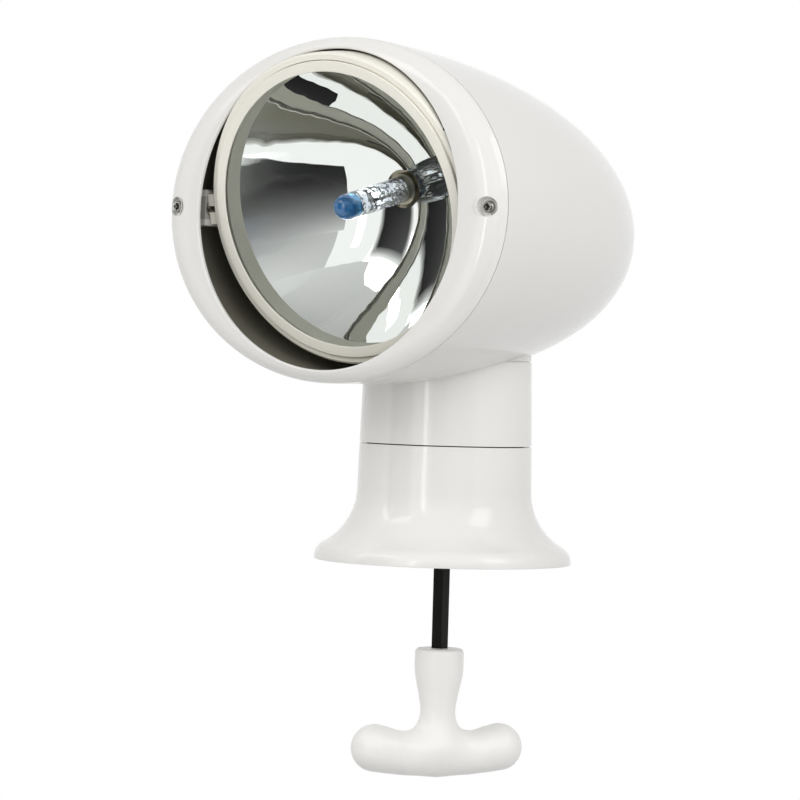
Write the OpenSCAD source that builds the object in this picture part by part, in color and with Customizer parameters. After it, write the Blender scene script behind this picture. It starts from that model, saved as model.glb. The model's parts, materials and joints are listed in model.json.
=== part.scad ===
// Marine searchlight: a lamp in an egg-shaped head on a flared deck pedestal,
// panned and tilted from below the deck by one square rod with a T-handle.
// Units are mm. The deck is z = 0, the pan axis is Z and the beam leaves towards -Y.

/* [Base] */
// Radius of the flange on the deck
base_r = 60.5; // [59.5:0.5:64]
// Height of the joint line between base and neck
seam_z = 55; // [54:0.5:57]
// Width of the joint line
seam_gap = 0.5; // [0.4:0.1:0.8]
// Radius of the neck at the joint line
neck_r = 40.5; // [40:0.5:42]
// How much the straight part of the base widens downwards
neck_draft = 0.5; // [0.2:0.1:1]
// Height of the straight part below the joint line
straight_h = 17; // [15:1:19]
// Radius of the hollow sweep from neck to flange
flare_r = 38; // [36:1:40]
// Rounding of the flange's upper edge
rim_round = 2.5; // [1.5:0.5:3]
// Wall of the moulded base and neck
wall = 3.2; // [2.8:0.2:3.6]
// Radius of the plate that closes the base from below
plate_r = 52; // [51.5:0.5:52.5]
// Thickness of the base plate
plate_t = 4; // [3.5:0.5:5]
// Radius of the ledge that the base plate rests on
ledge_r = 44; // [43:0.5:44.5]
// Inner radius of the gasket groove in the flange
groove_in = 54.5; // [54:0.25:55]
// Width of the gasket groove
groove_w = 3; // [2:0.25:3.5]
// Depth of the gasket groove
groove_d = 1.5; // [1:0.25:2]
// Top of the moulded web that carries the pan bearing
web_top = 51; // [50.5:0.25:51.5]
// Thickness of that web
web_t = 4; // [3:0.5:5]
// Bottom of the bearing hub
hub_z = 22; // [21:0.5:24]
// Outer radius of the bearing hub
hub_r = 20; // [19:0.5:21]
// Radius of the bolt circle for the deck bolts
deck_bolt_r = 33; // [32:0.5:34]
// Tapped hole radius of the deck bolts
deck_hole_r = 2.1; // [1.6:0.1:2.6]
// Length of the threaded inserts
insert_len = 12; // [10:0.5:12.5]
// Outer radius of the threaded inserts
insert_r = 3.6; // [3.4:0.1:4]
// Radius of the bosses around the inserts
insert_boss_r = 6; // [5.5:0.5:6.5]
// Radius of the opening for the rod in the base plate
plate_hole_r = 13; // [12:0.5:14]
// Distance of the cable grommet from the pan axis
grommet_y = 26; // [25:0.5:27]
// Bore radius of the cable grommet
grommet_bore = 3.5; // [2.5:0.25:4]
// Radius of the circle of base plate screws
plate_screw_r = 48; // [47.5:0.25:48.5]

/* [Pan bearing] */
// Radius of the spindle that the head turns on
spindle_r = 14; // [13.5:0.25:14.25]
// Running clearance of the spindle in its bush
pan_fit = 0.05; // [0.02:0.01:0.08]
// Wall of the bearing bush
bush_wall = 1.95; // [1.7:0.05:2.1]
// Bore of the spindle
spindle_bore = 11; // [10.5:0.25:11.25]
// Lower end of the spindle
spindle_z = 15; // [14.5:0.25:15.5]
// Flange thickness of the bush
bush_flange = 2; // [1.5:0.25:2.25]
// Flange radius of the bush
bush_flange_r = 21; // [20:0.5:22]
// Radius of the spindle above its shoulder
shoulder_r = 18; // [17.5:0.25:18]
// Underside of the spindle's top flange
flange_z = 70; // [69:0.5:71]
// Thickness of the spindle's top flange
flange_t = 4; // [3.5:0.25:4.5]
// Radius of the spindle's top flange
flange_r = 27; // [26.5:0.25:28]
// Circle of the screws that clamp spindle, neck and shell
head_screw_r = 22.5; // [22:0.25:23]
// Radius of the pan stop's circle
stop_circle = 27; // [26.5:0.25:27.5]
// Radius of the pan stop pin
stop_pin_r = 2.5; // [2:0.25:3]

/* [Neck] */
// Height of the flat cut at the neck's rear edge
neck_top_z = 94.5; // [93.5:0.5:95.5]
// Radius of the neck at that height
neck_top_r = 39.4; // [39.2:0.1:39.8]
// Inner radius of the neck's lower lip
lip_in = 33; // [32:0.5:34]
// Thickness of the neck's web
neck_web = 4; // [3.5:0.25:4.5]
// Gap between the saddle and the egg
saddle_gap = 0.4; // [0.3:0.05:0.6]

/* [Head] */
// Height of the egg's lowest point above the deck
egg_low = 80.6; // [80.2:0.1:81]
// Upward pitch of the egg's axis, nose up
head_pitch = 1.3; // [0.7:0.1:1.7]
// Width of the bezel's face above the opening
bezel_band = 5.8; // [5.6:0.1:6.4]
// From the end of a tilt bracket to the egg's widest line
cheek_wall = 4.3; // [4.3:0.1:5]
// Length of the egg behind the joint
rear_len = 203; // [199:1:207]
// Distance of that joint in front of the pan axis
seam_c = 92; // [91.6:0.2:92.4]
// Wall of the egg
shell_t = 3; // [2.6:0.2:3]
// Distance of the bezel's face in front of the pan axis
face_c = 100.6; // [100.4:0.2:101.4]
// Length of the full nose that the bezel's rounding is cut from
nose_len = 20; // [19:0.5:22]
// Gap between the lamp ring and the round opening
ring_gap = 0.8; // [0.7:0.1:1.2]
// Small chamfer of the opening
open_chamfer = 0.8; // [0.4:0.1:1]
// Thickness of the bezel's face
bezel_t = 2.2; // [2:0.2:3]
// Distance of the bezel screws outside the trunnion bushes
bezel_screw_out = 2.6; // [2.4:0.1:2.8]
// Radius of the bezel's screw bosses
bezel_boss_r = 5; // [4.4:0.2:5]
// Counterbore radius for the bezel screws
cbore_r = 3.7; // [3.4:0.1:3.9]
// Where the bezel screw heads sit, from the pan axis
screw_seat_c = 96.4; // [96:0.2:96.8]
// Width of the seal in the joint
seal_w = 1.4; // [1:0.1:1.4]

/* [Tilt] */
// Distance of the tilt axis in front of the pan axis
tilt_c = 87; // [86.6:0.2:87.2]
// How far the tilt axis lies above the egg's axis
tilt_up = 1.2; // [0.8:0.2:1.2]
// Downward tilt of the lamp in the rest pose
tilt_rest = 13.5; // [11:0.5:14]
// Radius of the trunnion pins
pin_r = 4; // [3.6:0.1:4.2]
// Running clearance of the trunnions
tilt_fit = 0.05; // [0.02:0.01:0.08]
// Gap from the lamp ring to the tilt brackets
bracket_gap = 3.8; // [3.6:0.1:4.2]
// Depth of the slot for the trunnion bush
bush_slot = 8.8; // [8.6:0.1:9]
// Wall of the bracket outside that slot
bracket_wall = 5.2; // [5:0.1:5.4]
// Half height of the tilt brackets
bracket_h = 8.2; // [7.8:0.1:8.4]
// Half height of the slot in them
slot_h = 5.3; // [5.1:0.1:5.5]

/* [Lamp] */
// Outer radius of the lamp ring
ring_r = 71.2; // [67:0.1:75]
// Width of the carrier's rim outside the joint line in the ring's face
rim_w = 3.2; // [3:0.1:3.4]
// Width of the ring that holds the lens
ring_w = 3.4; // [3.2:0.1:4]
// How far the ring's face lies ahead of the tilt axis
ring_face = 5; // [4.8:0.1:5]
// How far the carrier's rim lies ahead of the tilt axis
rim_face = 3.6; // [3.4:0.1:3.6]
// Rear of the carrier behind the tilt axis
carrier_back = 12; // [11.5:0.25:12]
// Thickness of the lens
lens_t = 2.4; // [2:0.1:2.4]
// Bulge of the lens
lens_sag = 4; // [3.6:0.1:4.4]
// Depth of the reflector's straight collar
collar_d = 9; // [8:0.5:9.5]
// Depth of the reflector's bowl
bowl_d = 41; // [39:0.5:42]
// Wall of the reflector
mirror_t = 1.2; // [1:0.1:1.2]
// Radius of the bulb's glass
bulb_r = 6; // [5.5:0.25:6.5]
// From the bulb's tip to the lens
bulb_gap = 3.1; // [2.6:0.1:4]
// Distance of the lever's cross bar behind the tilt axis
bar_back = 73; // [72:0.5:73]
// Thickness of the lever's strip
lever_t = 4; // [3.5:0.25:4]
// Half height of the lever's strip
lever_h = 6.5; // [6.4:0.1:7]

/* [Control] */
// Side of the square rod
rod_w = 5.5; // [5.3:0.1:5.6]
// Clearance of the rod in its guides
rod_fit = 0.08; // [0.05:0.01:0.1]
// Radius of the drive pin
drive_r = 2.5; // [2.2:0.1:2.6]
// Play of the drive pin in the lever's slot
drive_play = 0.6; // [0.55:0.05:0.8]
// Height of the handle's top edge
handle_top = -41; // [-45:1:-40]
// Length of the handle from top to bottom
handle_len = 61; // [59:0.5:63]
// Radius of the handle's boss
boss_r = 11.2; // [10.6:0.1:11.6]
// Radius of the handle's waist
waist_r = 8.8; // [8.4:0.1:9.2]
// Radius of the handle's arms
arm_r = 11; // [10.6:0.1:11.4]
// Distance between the centres of the arms' ends
arm_span = 62; // [60:1:70]
// Radius of the arms' upward sweep
arm_sweep = 150; // [130:5:170]
// Turn of the arms about the rod, away from the tilt axis
handle_turn = 55; // [0:5:55]

/* [Hidden] */
$fn = 96;
fine = 240;
coarse = 48;
recess_w = 0.2;
recess_r = 0.62;
recess_d = 0.6;
filament_share = 0.6;
coil_share = 0.8;
tiny = 0.1;
air = 0.2;
over = 1;
base_top = seam_z - seam_gap / 2;
flare_top = neck_r + neck_draft;
flare_x = flare_top + flare_r;
flare_z = seam_z - straight_h;
rim_x = base_r - rim_round;
rim_lap = 0.02;
rim_z = flare_z - sqrt(pow(flare_r + rim_round - rim_lap, 2) - pow(flare_x - rim_x, 2));
base_in = neck_r - wall;
cone_z = seam_z / 2;
land_in = base_in - air;
hub_in = spindle_r + pan_fit + bush_wall;
boss_top = insert_len + over;
plate_pilot = 1.3;
plate_thread = 6;
grommet_wall = 2;
grommet_r = grommet_bore + grommet_wall;
grommet_lip = 1.5;
bush_top = web_top + bush_flange;
washer_t = 1.5;
washer_r = hub_r;
clip_t = 1.5;
clip_depth = 1.2;
clip_proud = 2;
clip_r = spindle_r + clip_proud;
washer_z = hub_z - tiny - washer_t;
clip_z = washer_z - tiny - clip_t;
stop_rise = 9;
stop_top = web_top + stop_rise;
rib_w = 4;
seal_in = lip_in + over;
seal_out = land_in - air;

neck_z = seam_z + seam_gap / 2;
neck_in = neck_top_r - wall;
lip_top = neck_z + wall;
neck_web_z = flange_z + flange_t;
neck_web_top = neck_web_z + neck_web;
web_hole = spindle_bore + over;
m4_r = 2;
m4_head = 3.5;
m4_head_h = 2.8;
m4_clear = m4_r + air;
shell_boss_r = 5;
shell_boss_z = neck_web_top + air;
thread_deep = 7;
head_thread_z = shell_boss_z + thread_deep;
m4_len = head_thread_z - flange_z - over;

open_r = ring_r + ring_gap;
vert_r = open_r + bezel_band;
bracket_x = ring_r + bracket_gap;
bore_end = bracket_x + bush_slot;
bracket_end = bore_end + bracket_wall;
lat_r = bracket_end + cheek_wall;
head_z = egg_low + vert_r;
bezel_screw_x = bore_end + bezel_screw_out;
oval = lat_r / vert_r;
boss_run = 19;
joint_gap = 0.3;
tilt_z = head_z + tilt_up;
tilt_y = tilt_c * cos(head_pitch) - tilt_up * sin(head_pitch);
tilt_high = head_z + tilt_c * sin(head_pitch) + tilt_up * cos(head_pitch);
m3_r = 1.5;
m3_head = 2.75;
m3_head_h = 2.4;
m3_clear = m3_r + air;
m3_len = 25;
rebate_d = 2;
bracket_deep = 7;
bracket_back = tilt_c - bracket_deep;
block_len = 12;
block_c = bracket_back - block_len;
block_deep = 8;
block_x = bracket_end - block_deep;
bush_gap = 0.1;
pin_end = bore_end - over;

seat_v = -0.2;
mirror_flange = 1.2;
gasket_t = 0.6;
lens_fit = 0.1;
lens_v = seat_v + mirror_flange + gasket_t;
lens_lap = 1.5;
ring_mid = ring_r - rim_w;
lens_r = ring_mid - ring_w;
lens_out = ring_mid - lens_lap;
ring_fit = 0.35;
ring_edge = 0.2;
seat_step = 1.8;
seat_r = ring_mid - seat_step;
mirror_r = lens_r - over;
bowl_v = seat_v + mirror_flange - collar_d;
apex_v = bowl_v - bowl_d;
neck_hole = 9;
bowl_steps = 18;
dome_steps = 10;
hole_share = neck_hole / mirror_r;
lip_w = 0.8;
carrier_in = seat_r - lip_w;
carrier_lip = 2.5;
rim_taper = 1.4;
lug_h = 7;
lug_gap = 0.6;
lug_x = bracket_x - lug_gap;
bulb_rise = 2;
bulb_seat = apex_v + bulb_rise;
bulb_len = lens_v + lens_sag - bulb_gap - bulb_seat;
bulb_wall = 0.8;
cap_r = 7.4;
cap_len = 9;
bulb_flange_r = 12;
bulb_flange_t = 1.2;
socket_d = 10;
socket_back = apex_v - socket_d;
blade_len = 9;
clip_wire = 1;
clip_ear = 17;
clip_half = 9.5;
clip_v = socket_back + cap_len / 2 - bulb_flange_t - 2 * air;
m2_r = 1;
m2_head = 2;
m2_head_h = 1.4;
lever_x = ring_r - air;
lever_screw_x = (seat_r + ring_r) / 2;
lever_screw_h = 5;
lever_screw_v = -2;
lever_screw_len = 16;
blade_t = 4;
blade_h = 7.2;
drive_d = tilt_y;
drive_p = drive_d * tan(tilt_rest);
slot_front = 1.4;
slot_in = drive_d - slot_front;
slot_rear = 7;
slot_out = drive_d + slot_rear;
slot_half = drive_r + drive_play;
slot_mid = -0.3;

drive_z = tilt_high + drive_p;
fork_w = 5;
fork_gap = 0.8;
fork_in = blade_t / 2 + fork_gap;
fork_wall = 3.4;
fork_out = fork_in + fork_wall;
fork_clear = 3.6;
fork_seat = drive_z - blade_h - fork_clear;
fork_socket = 9;
fork_bottom = fork_seat - fork_socket;
fork_up = 6;
rod_top = fork_seat - over;
rod_in_handle = 30;
rod_bottom = handle_top - rod_in_handle;
roll_pin_r = 1.25;
guide_len = 10;
wiper_t = 3;
wire_r = 2.6;
wire_x = 7.4;
handle_bottom = handle_top - handle_len;
arm_z = handle_bottom + arm_r;
arm_angle = asin(arm_span / 2 / arm_sweep);
waist_drop = 27;
waist_z = handle_top - waist_drop;
boss_len = 9;
boss_straight = handle_top - boss_len;
boss_edge = 1.6;
arm_bead = 0.3;
grub_r = 1.5;
grub_drop = 10;
grub_z = handle_top - grub_drop;

white = [0.9, 0.89, 0.87];
cream = [0.9, 0.88, 0.82];
steel = [0.7, 0.7, 0.72];
brass = [0.78, 0.65, 0.35];
black = [0.08, 0.08, 0.08];
grey = [0.35, 0.35, 0.36];
glass = [0.8, 0.86, 0.86];
mirror = [0.86, 0.88, 0.9];

// Turned shape about the beam: first number is the radius, second the distance forward
module lathe_forward() {
  rotate([90, 0, 0])
    rotate_extrude()
      children();
}

// The lamp's own frame: tilt axis at the origin, beam towards -Y
module in_lamp() {
  translate([0, -tilt_y, tilt_high])
    rotate([tilt_rest, 0, 0])
      children();
}

// The head's own frame: its axis pitched up a little about the pan axis
module in_head() {
  translate([0, 0, head_z])
    rotate([-head_pitch, 0, 0])
      translate([0, 0, -head_z])
        children();
}

module tube(r_out, r_in, z0, z1) {
  translate([0, 0, z0])
    difference() {
      cylinder(r = r_out, h = z1 - z0);
      translate([0, 0, -over])
        cylinder(r = r_in, h = z1 - z0 + 2 * over);
    }
}

module around(n, r, first = 0) {
  for (i = [0 : n - 1])
    rotate([0, 0, first + i * 360 / n])
      translate([r, 0, 0])
        children();
}

module both_sides() {
  children();
  mirror([1, 0, 0])
    children();
}

// A cylinder along the beam, from one forward distance to another
module forward_rod(r, c0, c1) {
  translate([0, -c0, 0])
    rotate([90, 0, 0])
      cylinder(r = r, h = c1 - c0);
}

// A cylinder across the head
module cross_rod(r, x0, x1) {
  translate([x0, 0, 0])
    rotate([0, 90, 0])
      cylinder(r = r, h = x1 - x0);
}

// Box from one corner to the opposite one
module span(a, b) {
  translate(a)
    cube(b - a);
}

// The egg, grown by g all round
module egg(g) {
  translate([0, -seam_c, head_z])
    scale([(lat_r + g) / (vert_r + g), (rear_len + g) / (vert_r + g), 1])
      sphere(r = vert_r + g, $fn = fine);
}

// Everything across the head between two forward distances
module forward_slab(c0, c1) {
  span([-2 * lat_r, -c1, head_z - 2 * vert_r], [2 * lat_r, -c0, head_z + 2 * vert_r]);
}

// A slice of the grown egg between two forward distances
module egg_slice(g, c0, c1) {
  intersection() {
    egg(g);
    forward_slab(c0, c1);
  }
}

// Elliptic slab across the head, v high, between two forward distances
module oval_slab(v, c0, c1) {
  translate([0, 0, head_z])
    scale([oval, 1, 1])
      forward_rod(v, c0, c1, $fn = coarse);
}

// The rounded front that goes on from the egg's widest section
module nose(g) {
  translate([0, -seam_c, head_z])
    scale([(lat_r + g) / (vert_r + g), (nose_len + g) / (vert_r + g), 1])
      sphere(r = vert_r + g, $fn = fine);
}

// Cross recess of a screw, cut down from the origin
module cross_slot(r, d) {
  for (a = [0, 90])
    rotate([0, 0, a])
      translate([-r, -r * recess_w, -d])
        cube([2 * r, 2 * r * recess_w, d + over]);
}

// Screw with its seat at the origin, head up
module pan_screw(r, len, head, head_h) {
  difference() {
    union() {
      translate([0, 0, -len])
        cylinder(r = r, h = len + head_h / 2);
      rotate_extrude()
        intersection() {
          square([head, head_h]);
          translate([0, -head])
            circle(r = head + head_h);
        }
    }
    translate([0, 0, head_h])
      cross_slot(head * recess_r, head_h * recess_d);
  }
}

module base_outline() {
  difference() {
    union() {
      polygon([[0, 0], [base_r, 0], [base_r, rim_z], [rim_x, rim_z], [flare_x, flare_z], [0, flare_z]]);
      translate([rim_x, rim_z])
        circle(r = rim_round);
    }
    translate([flare_x, flare_z])
      circle(r = flare_r);
  }
  polygon([[0, flare_z], [flare_top, flare_z], [neck_r, base_top], [0, base_top]]);
}

module base_pedestal() {
  color(white)
    difference() {
      rotate_extrude()
        difference() {
          base_outline();
          polygon([[-over, -over], [plate_r + air, -over], [plate_r + air, plate_t], [ledge_r, plate_t],
            [base_in, cone_z], [base_in, web_top - web_t], [hub_r, web_top - web_t], [hub_r, hub_z],
            [hub_in, hub_z], [hub_in, web_top], [land_in, web_top], [land_in, base_top + over],
            [-over, base_top + over]]);
          translate([groove_in, -over])
            square([groove_w, groove_d + over]);
        }
      around(4, plate_screw_r)
        cylinder(r = plate_pilot, h = plate_t + plate_thread);
      around(1, stop_circle, 90)
        translate([0, 0, web_top - web_t - over])
          cylinder(r = stop_pin_r, h = web_t + 2 * over);
    }
}

module base_plate() {
  color(grey)
    difference() {
      union() {
        cylinder(r = plate_r, h = plate_t - tiny);
        around(4, deck_bolt_r, 45)
          cylinder(r = insert_boss_r, h = boss_top);
      }
      translate([0, 0, -over])
        cylinder(r = plate_hole_r, h = plate_t + 2 * over);
      around(4, deck_bolt_r, 45)
        translate([0, 0, -over])
          cylinder(r = insert_r, h = insert_len + over);
      translate([0, grommet_y, -over])
        cylinder(r = grommet_r, h = plate_t + 2 * over);
      around(4, plate_screw_r)
        translate([0, 0, -over])
          cylinder(r = m3_clear, h = plate_t + 2 * over);
      around(4, plate_screw_r)
        translate([0, 0, -over])
          cylinder(r = m3_head + air, h = m3_head_h + over);
    }
}

module plate_screws() {
  color(steel)
    around(4, plate_screw_r)
      translate([0, 0, m3_head_h])
        rotate([180, 0, 0])
          pan_screw(plate_pilot, plate_t - m3_head_h + plate_thread - over, m3_head, m3_head_h - air);
}

module deck_gasket() {
  color(black)
    tube(groove_in + groove_w - tiny, groove_in + tiny, 0, groove_d - tiny);
}

module deck_inserts() {
  color(brass)
    around(4, deck_bolt_r, 45)
      tube(insert_r, deck_hole_r, 0, insert_len);
}

module cable_grommet() {
  color(black)
    translate([0, grommet_y, 0])
      difference() {
        union() {
          cylinder(r = grommet_r - tiny, h = plate_t + grommet_lip);
          translate([0, 0, plate_t])
            cylinder(r = grommet_r + over, h = grommet_lip);
        }
        translate([0, 0, -over])
          cylinder(r = grommet_bore, h = plate_t + grommet_lip + 2 * over);
      }
}

module pan_bush() {
  color(grey)
    rotate_extrude()
      polygon([[spindle_r + pan_fit, hub_z], [hub_in, hub_z], [hub_in, web_top], [bush_flange_r, web_top],
        [bush_flange_r, bush_top], [spindle_r + pan_fit, bush_top]]);
}

module pan_seal() {
  color(black)
    tube(seal_out, seal_in, web_top, neck_z - joint_gap);
}

module pan_stop_pin() {
  color(steel)
    around(1, stop_circle, 90)
      translate([0, 0, web_top - web_t])
        cylinder(r = stop_pin_r, h = stop_top - web_top + web_t);
}

module neck_collar() {
  color(white)
    difference() {
      union() {
        rotate_extrude()
          polygon([[lip_in, neck_z], [neck_r, neck_z], [neck_top_r, neck_top_z], [neck_in, neck_top_z],
            [neck_in, neck_web_top], [web_hole, neck_web_top], [web_hole, neck_web_z],
            [neck_in, neck_web_z], [neck_in, lip_top], [lip_in, lip_top]]);
        span([-rib_w / 2, -neck_in - over, lip_top - over],
          [rib_w / 2, -stop_circle + stop_pin_r, flange_z - air]);
      }
      in_head()
        egg(saddle_gap);
      around(4, head_screw_r, 45)
        translate([0, 0, neck_web_z - over])
          cylinder(r = m4_clear, h = neck_web + 2 * over);
    }
}

module pan_spindle() {
  color(steel)
    difference() {
      rotate_extrude()
        polygon([[spindle_bore, spindle_z], [spindle_r, spindle_z], [spindle_r, clip_z - tiny],
          [spindle_r - clip_depth, clip_z - tiny], [spindle_r - clip_depth, clip_z + clip_t + tiny],
          [spindle_r, clip_z + clip_t + tiny], [spindle_r, bush_top + tiny],
          [shoulder_r, bush_top + tiny], [shoulder_r, flange_z], [flange_r, flange_z],
          [flange_r, neck_web_z], [spindle_bore, neck_web_z]]);
      around(4, head_screw_r, 45)
        translate([0, 0, flange_z - over])
          cylinder(r = m4_clear, h = flange_t + 2 * over);
    }
}

module head_screws() {
  color(steel)
    around(4, head_screw_r, 45)
      translate([0, 0, flange_z])
        rotate([180, 0, 0])
          pan_screw(m4_r, m4_len, m4_head, m4_head_h);
}

module thrust_washer() {
  color(brass)
    tube(washer_r, spindle_r + tiny, washer_z, washer_z + washer_t);
}

module spindle_circlip() {
  color(steel)
    difference() {
      tube(clip_r, spindle_r - clip_depth + tiny, clip_z, clip_z + clip_t);
      translate([0, -rib_w / 2, clip_z - over])
        cube([clip_r + over, rib_w, clip_t + 2 * over]);
    }
}

module guide_disc(z0, z1, fit) {
  difference() {
    translate([0, 0, z0])
      cylinder(r = spindle_bore, h = z1 - z0);
    translate([-rod_w / 2 - fit, -rod_w / 2 - fit, z0 - over])
      cube([rod_w + 2 * fit, rod_w + 2 * fit, z1 - z0 + 2 * over]);
    translate([0, wire_x, z0 - over])
      cylinder(r = wire_r, h = z1 - z0 + 2 * over);
  }
}

module rod_guides() {
  color(grey) {
    guide_disc(spindle_z + wiper_t, spindle_z + wiper_t + guide_len, rod_fit);
    guide_disc(neck_web_z - guide_len, neck_web_z, rod_fit);
  }
}

module rod_wiper() {
  color(black)
    guide_disc(spindle_z, spindle_z + wiper_t, rod_fit);
}

module head_shell() {
  color(white)
    difference() {
      union() {
        in_head()
          intersection() {
            egg(0);
            translate([-lat_r - over, -seam_c, head_z - vert_r - over])
              cube([2 * (lat_r + over), seam_c + rear_len, 2 * (vert_r + over)]);
          }
        translate([0, 0, neck_top_z + saddle_gap])
          cylinder(r = neck_top_r - air, h = boss_run);
        around(4, head_screw_r, 45)
          translate([0, 0, shell_boss_z])
            cylinder(r = shell_boss_r, h = boss_run);
      }
      in_head() {
        difference() {
          egg(-shell_t);
          both_sides()
            span([block_x, -bracket_back + tiny, tilt_z - bracket_h],
              [lat_r, -block_c, tilt_z + bracket_h]);
        }
        egg_slice(seal_w + tiny - shell_t, seam_c - rebate_d, seam_c + over);
        both_sides()
          translate([bezel_screw_x, 0, tilt_z])
            forward_rod(m3_r, block_c + over, bracket_back + over);
      }
      cylinder(r = web_hole, h = head_z);
      around(4, head_screw_r, 45)
        translate([0, 0, shell_boss_z - over])
          cylinder(r = m4_r, h = head_thread_z - shell_boss_z + over);
    }
}

module front_bezel() {
  color(white)
    in_head()
      difference() {
        intersection() {
          nose(0);
          forward_slab(seam_c + joint_gap, face_c);
        }
        difference() {
          intersection() {
            nose(-shell_t);
            forward_slab(seam_c, face_c - bezel_t);
          }
          both_sides()
            translate([bezel_screw_x, 0, tilt_z])
              forward_rod(bezel_boss_r, seam_c, face_c);
        }
        translate([0, 0, head_z]) {
          forward_rod(open_r, 0, face_c + over, $fn = fine);
          translate([0, -face_c + open_chamfer, 0])
            rotate([90, 0, 0])
              cylinder(r1 = open_r, r2 = open_r + 2 * open_chamfer, h = 2 * open_chamfer, $fn = fine);
        }
        both_sides()
          translate([bezel_screw_x, 0, tilt_z]) {
            forward_rod(cbore_r, screw_seat_c, face_c + over);
            forward_rod(m3_clear, 0, face_c);
          }
      }
}

module bezel_seal() {
  color(black)
    in_head()
      difference() {
        oval_slab(vert_r - shell_t + seal_w, seam_c - rebate_d + tiny, seam_c + joint_gap - tiny);
        oval_slab(vert_r - shell_t + tiny, seam_c - rebate_d - over, seam_c + over);
      }
}

module bezel_screws() {
  color(steel)
    in_head()
      both_sides()
        translate([bezel_screw_x, -screw_seat_c, tilt_z])
          rotate([90, 0, 0])
            pan_screw(m3_r, m3_len, m3_head, m3_head_h);
}

module tilt_bracket() {
  difference() {
    span([bracket_x, -seam_c + tiny, tilt_z - bracket_h],
      [bracket_end, -bracket_back, tilt_z + bracket_h]);
    span([bracket_x - over, -seam_c - over, tilt_z - slot_h],
      [bore_end, -bracket_back - over, tilt_z + slot_h]);
    translate([bezel_screw_x, 0, tilt_z])
      forward_rod(m3_clear, 0, face_c);
  }
}

module tilt_bracket_left() {
  color(white)
    in_head()
      mirror([1, 0, 0])
        tilt_bracket();
}

module tilt_bracket_right() {
  color(white)
    in_head()
      tilt_bracket();
}

module trunnion_bushes() {
  color(grey)
    in_head()
      both_sides()
        difference() {
          span([bracket_x, -seam_c + 2 * tiny, tilt_z - slot_h + bush_gap],
            [bore_end - bush_gap, -bracket_back - over - bush_gap, tilt_z + slot_h - bush_gap]);
          translate([0, -tilt_c, tilt_z])
            cross_rod(pin_r + tilt_fit, bracket_x - over, bracket_end);
        }
}

module lamp_carrier() {
  color(cream)
    in_lamp()
      difference() {
        union() {
          lathe_forward()
            polygon([[carrier_in, -carrier_back], [ring_r - rim_taper, -carrier_back], [ring_r, 0],
              [ring_r, rim_face - over],
              [ring_r - over, rim_face], [ring_mid, rim_face], [ring_mid, seat_v], [seat_r, seat_v],
              [seat_r, carrier_lip - carrier_back], [carrier_in, carrier_lip - carrier_back]]);
          both_sides()
            difference() {
              span([ring_mid - over, -rim_face + over, -lug_h], [lug_x, carrier_back - over, lug_h]);
              forward_rod((ring_mid + ring_r) / 2, -carrier_back, carrier_back);
            }
        }
        both_sides()
          cross_rod(pin_r - over, ring_mid - 2 * over, lug_x + over);
        both_sides()
          for (z = [-lever_screw_h, lever_screw_h])
            translate([lever_screw_x, 0, z]) {
              forward_rod(m2_r, -carrier_back - over, seat_v + over);
              forward_rod(m2_head, lever_screw_v, seat_v + over);
            }
        around_beam(3)
          rotate([90, 0, 0])
            cylinder(r = m2_r, h = 2 * ring_r);
      }
}

// Copies about the beam, the first pointing down, at the height of the ring screws
module around_beam(n) {
  for (i = [0 : n - 1])
    rotate([0, i * 360 / n, 0])
      translate([0, -rim_face / 2, 0])
        rotate([90, 0, 0])
          children();
}

module trunnion_pins() {
  color(steel)
    in_lamp()
      both_sides() {
        cross_rod(pin_r, lug_x, pin_end);
        cross_rod(pin_r - over, ring_mid + tiny, lug_x + over);
      }
}

module retaining_ring() {
  color(cream)
    in_lamp()
      lathe_forward()
        polygon([[lens_r, lens_v + lens_t + lens_fit], [lens_out + ring_fit, lens_v + lens_t + lens_fit],
          [lens_out + ring_fit, seat_v + mirror_flange + tiny],
          [ring_mid - ring_fit, seat_v + mirror_flange + tiny],
          [ring_mid - ring_fit, ring_face - ring_edge],
          [ring_mid - ring_fit - ring_edge, ring_face],
          [lens_r + over / 2, ring_face], [lens_r, ring_face - over / 2]]);
}

module ring_screws() {
  color(steel)
    in_lamp()
      around_beam(3)
        rotate([90, 0, 0])
          translate([0, 0, ring_mid])
            difference() {
              cylinder(r = m2_r - tiny, h = ring_r - ring_mid - air);
              translate([0, 0, ring_r - ring_mid - air])
                cross_slot(m2_r / 2, m2_r / 2);
            }
}

// A shallow dome at a height, from its middle at 0 to its edge at 1
function dome_point(s, v) = [(lens_r - over) * s, v + lens_sag * (1 - s * s)];

module lens() {
  color(glass, 0.35)
    in_lamp()
      lathe_forward()
        polygon(concat([for (i = [0 : dome_steps]) dome_point(i / dome_steps, lens_v)],
          [[lens_out, lens_v], [lens_out, lens_v + lens_t]],
          [for (i = [dome_steps : -1 : 0]) dome_point(i / dome_steps, lens_v + lens_t)]));
}

module lens_gasket() {
  color(black)
    in_lamp()
      lathe_forward()
        translate([lens_r, lens_v - gasket_t])
          square([lens_out - lens_r, gasket_t]);
}

// Radius of the bowl at a share of its depth, a parabola
function bowl_point(s, g) = [mirror_r * s + g, apex_v + bowl_d * s * s - g];

module reflector() {
  color(mirror)
    in_lamp()
      lathe_forward()
        polygon(concat(
          [[ring_mid - ring_fit, seat_v], [ring_mid - ring_fit, seat_v + mirror_flange],
            [mirror_r, seat_v + mirror_flange]],
          [for (i = [0 : bowl_steps]) bowl_point(1 - (1 - hole_share) * i / bowl_steps, 0)],
          [[neck_hole, socket_back + cap_len / 2], [neck_hole + mirror_t, socket_back + cap_len / 2]],
          [for (i = [bowl_steps : -1 : 0]) bowl_point(1 - (1 - hole_share) * i / bowl_steps, mirror_t)],
          [[mirror_r + mirror_t, seat_v]]));
}

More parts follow.
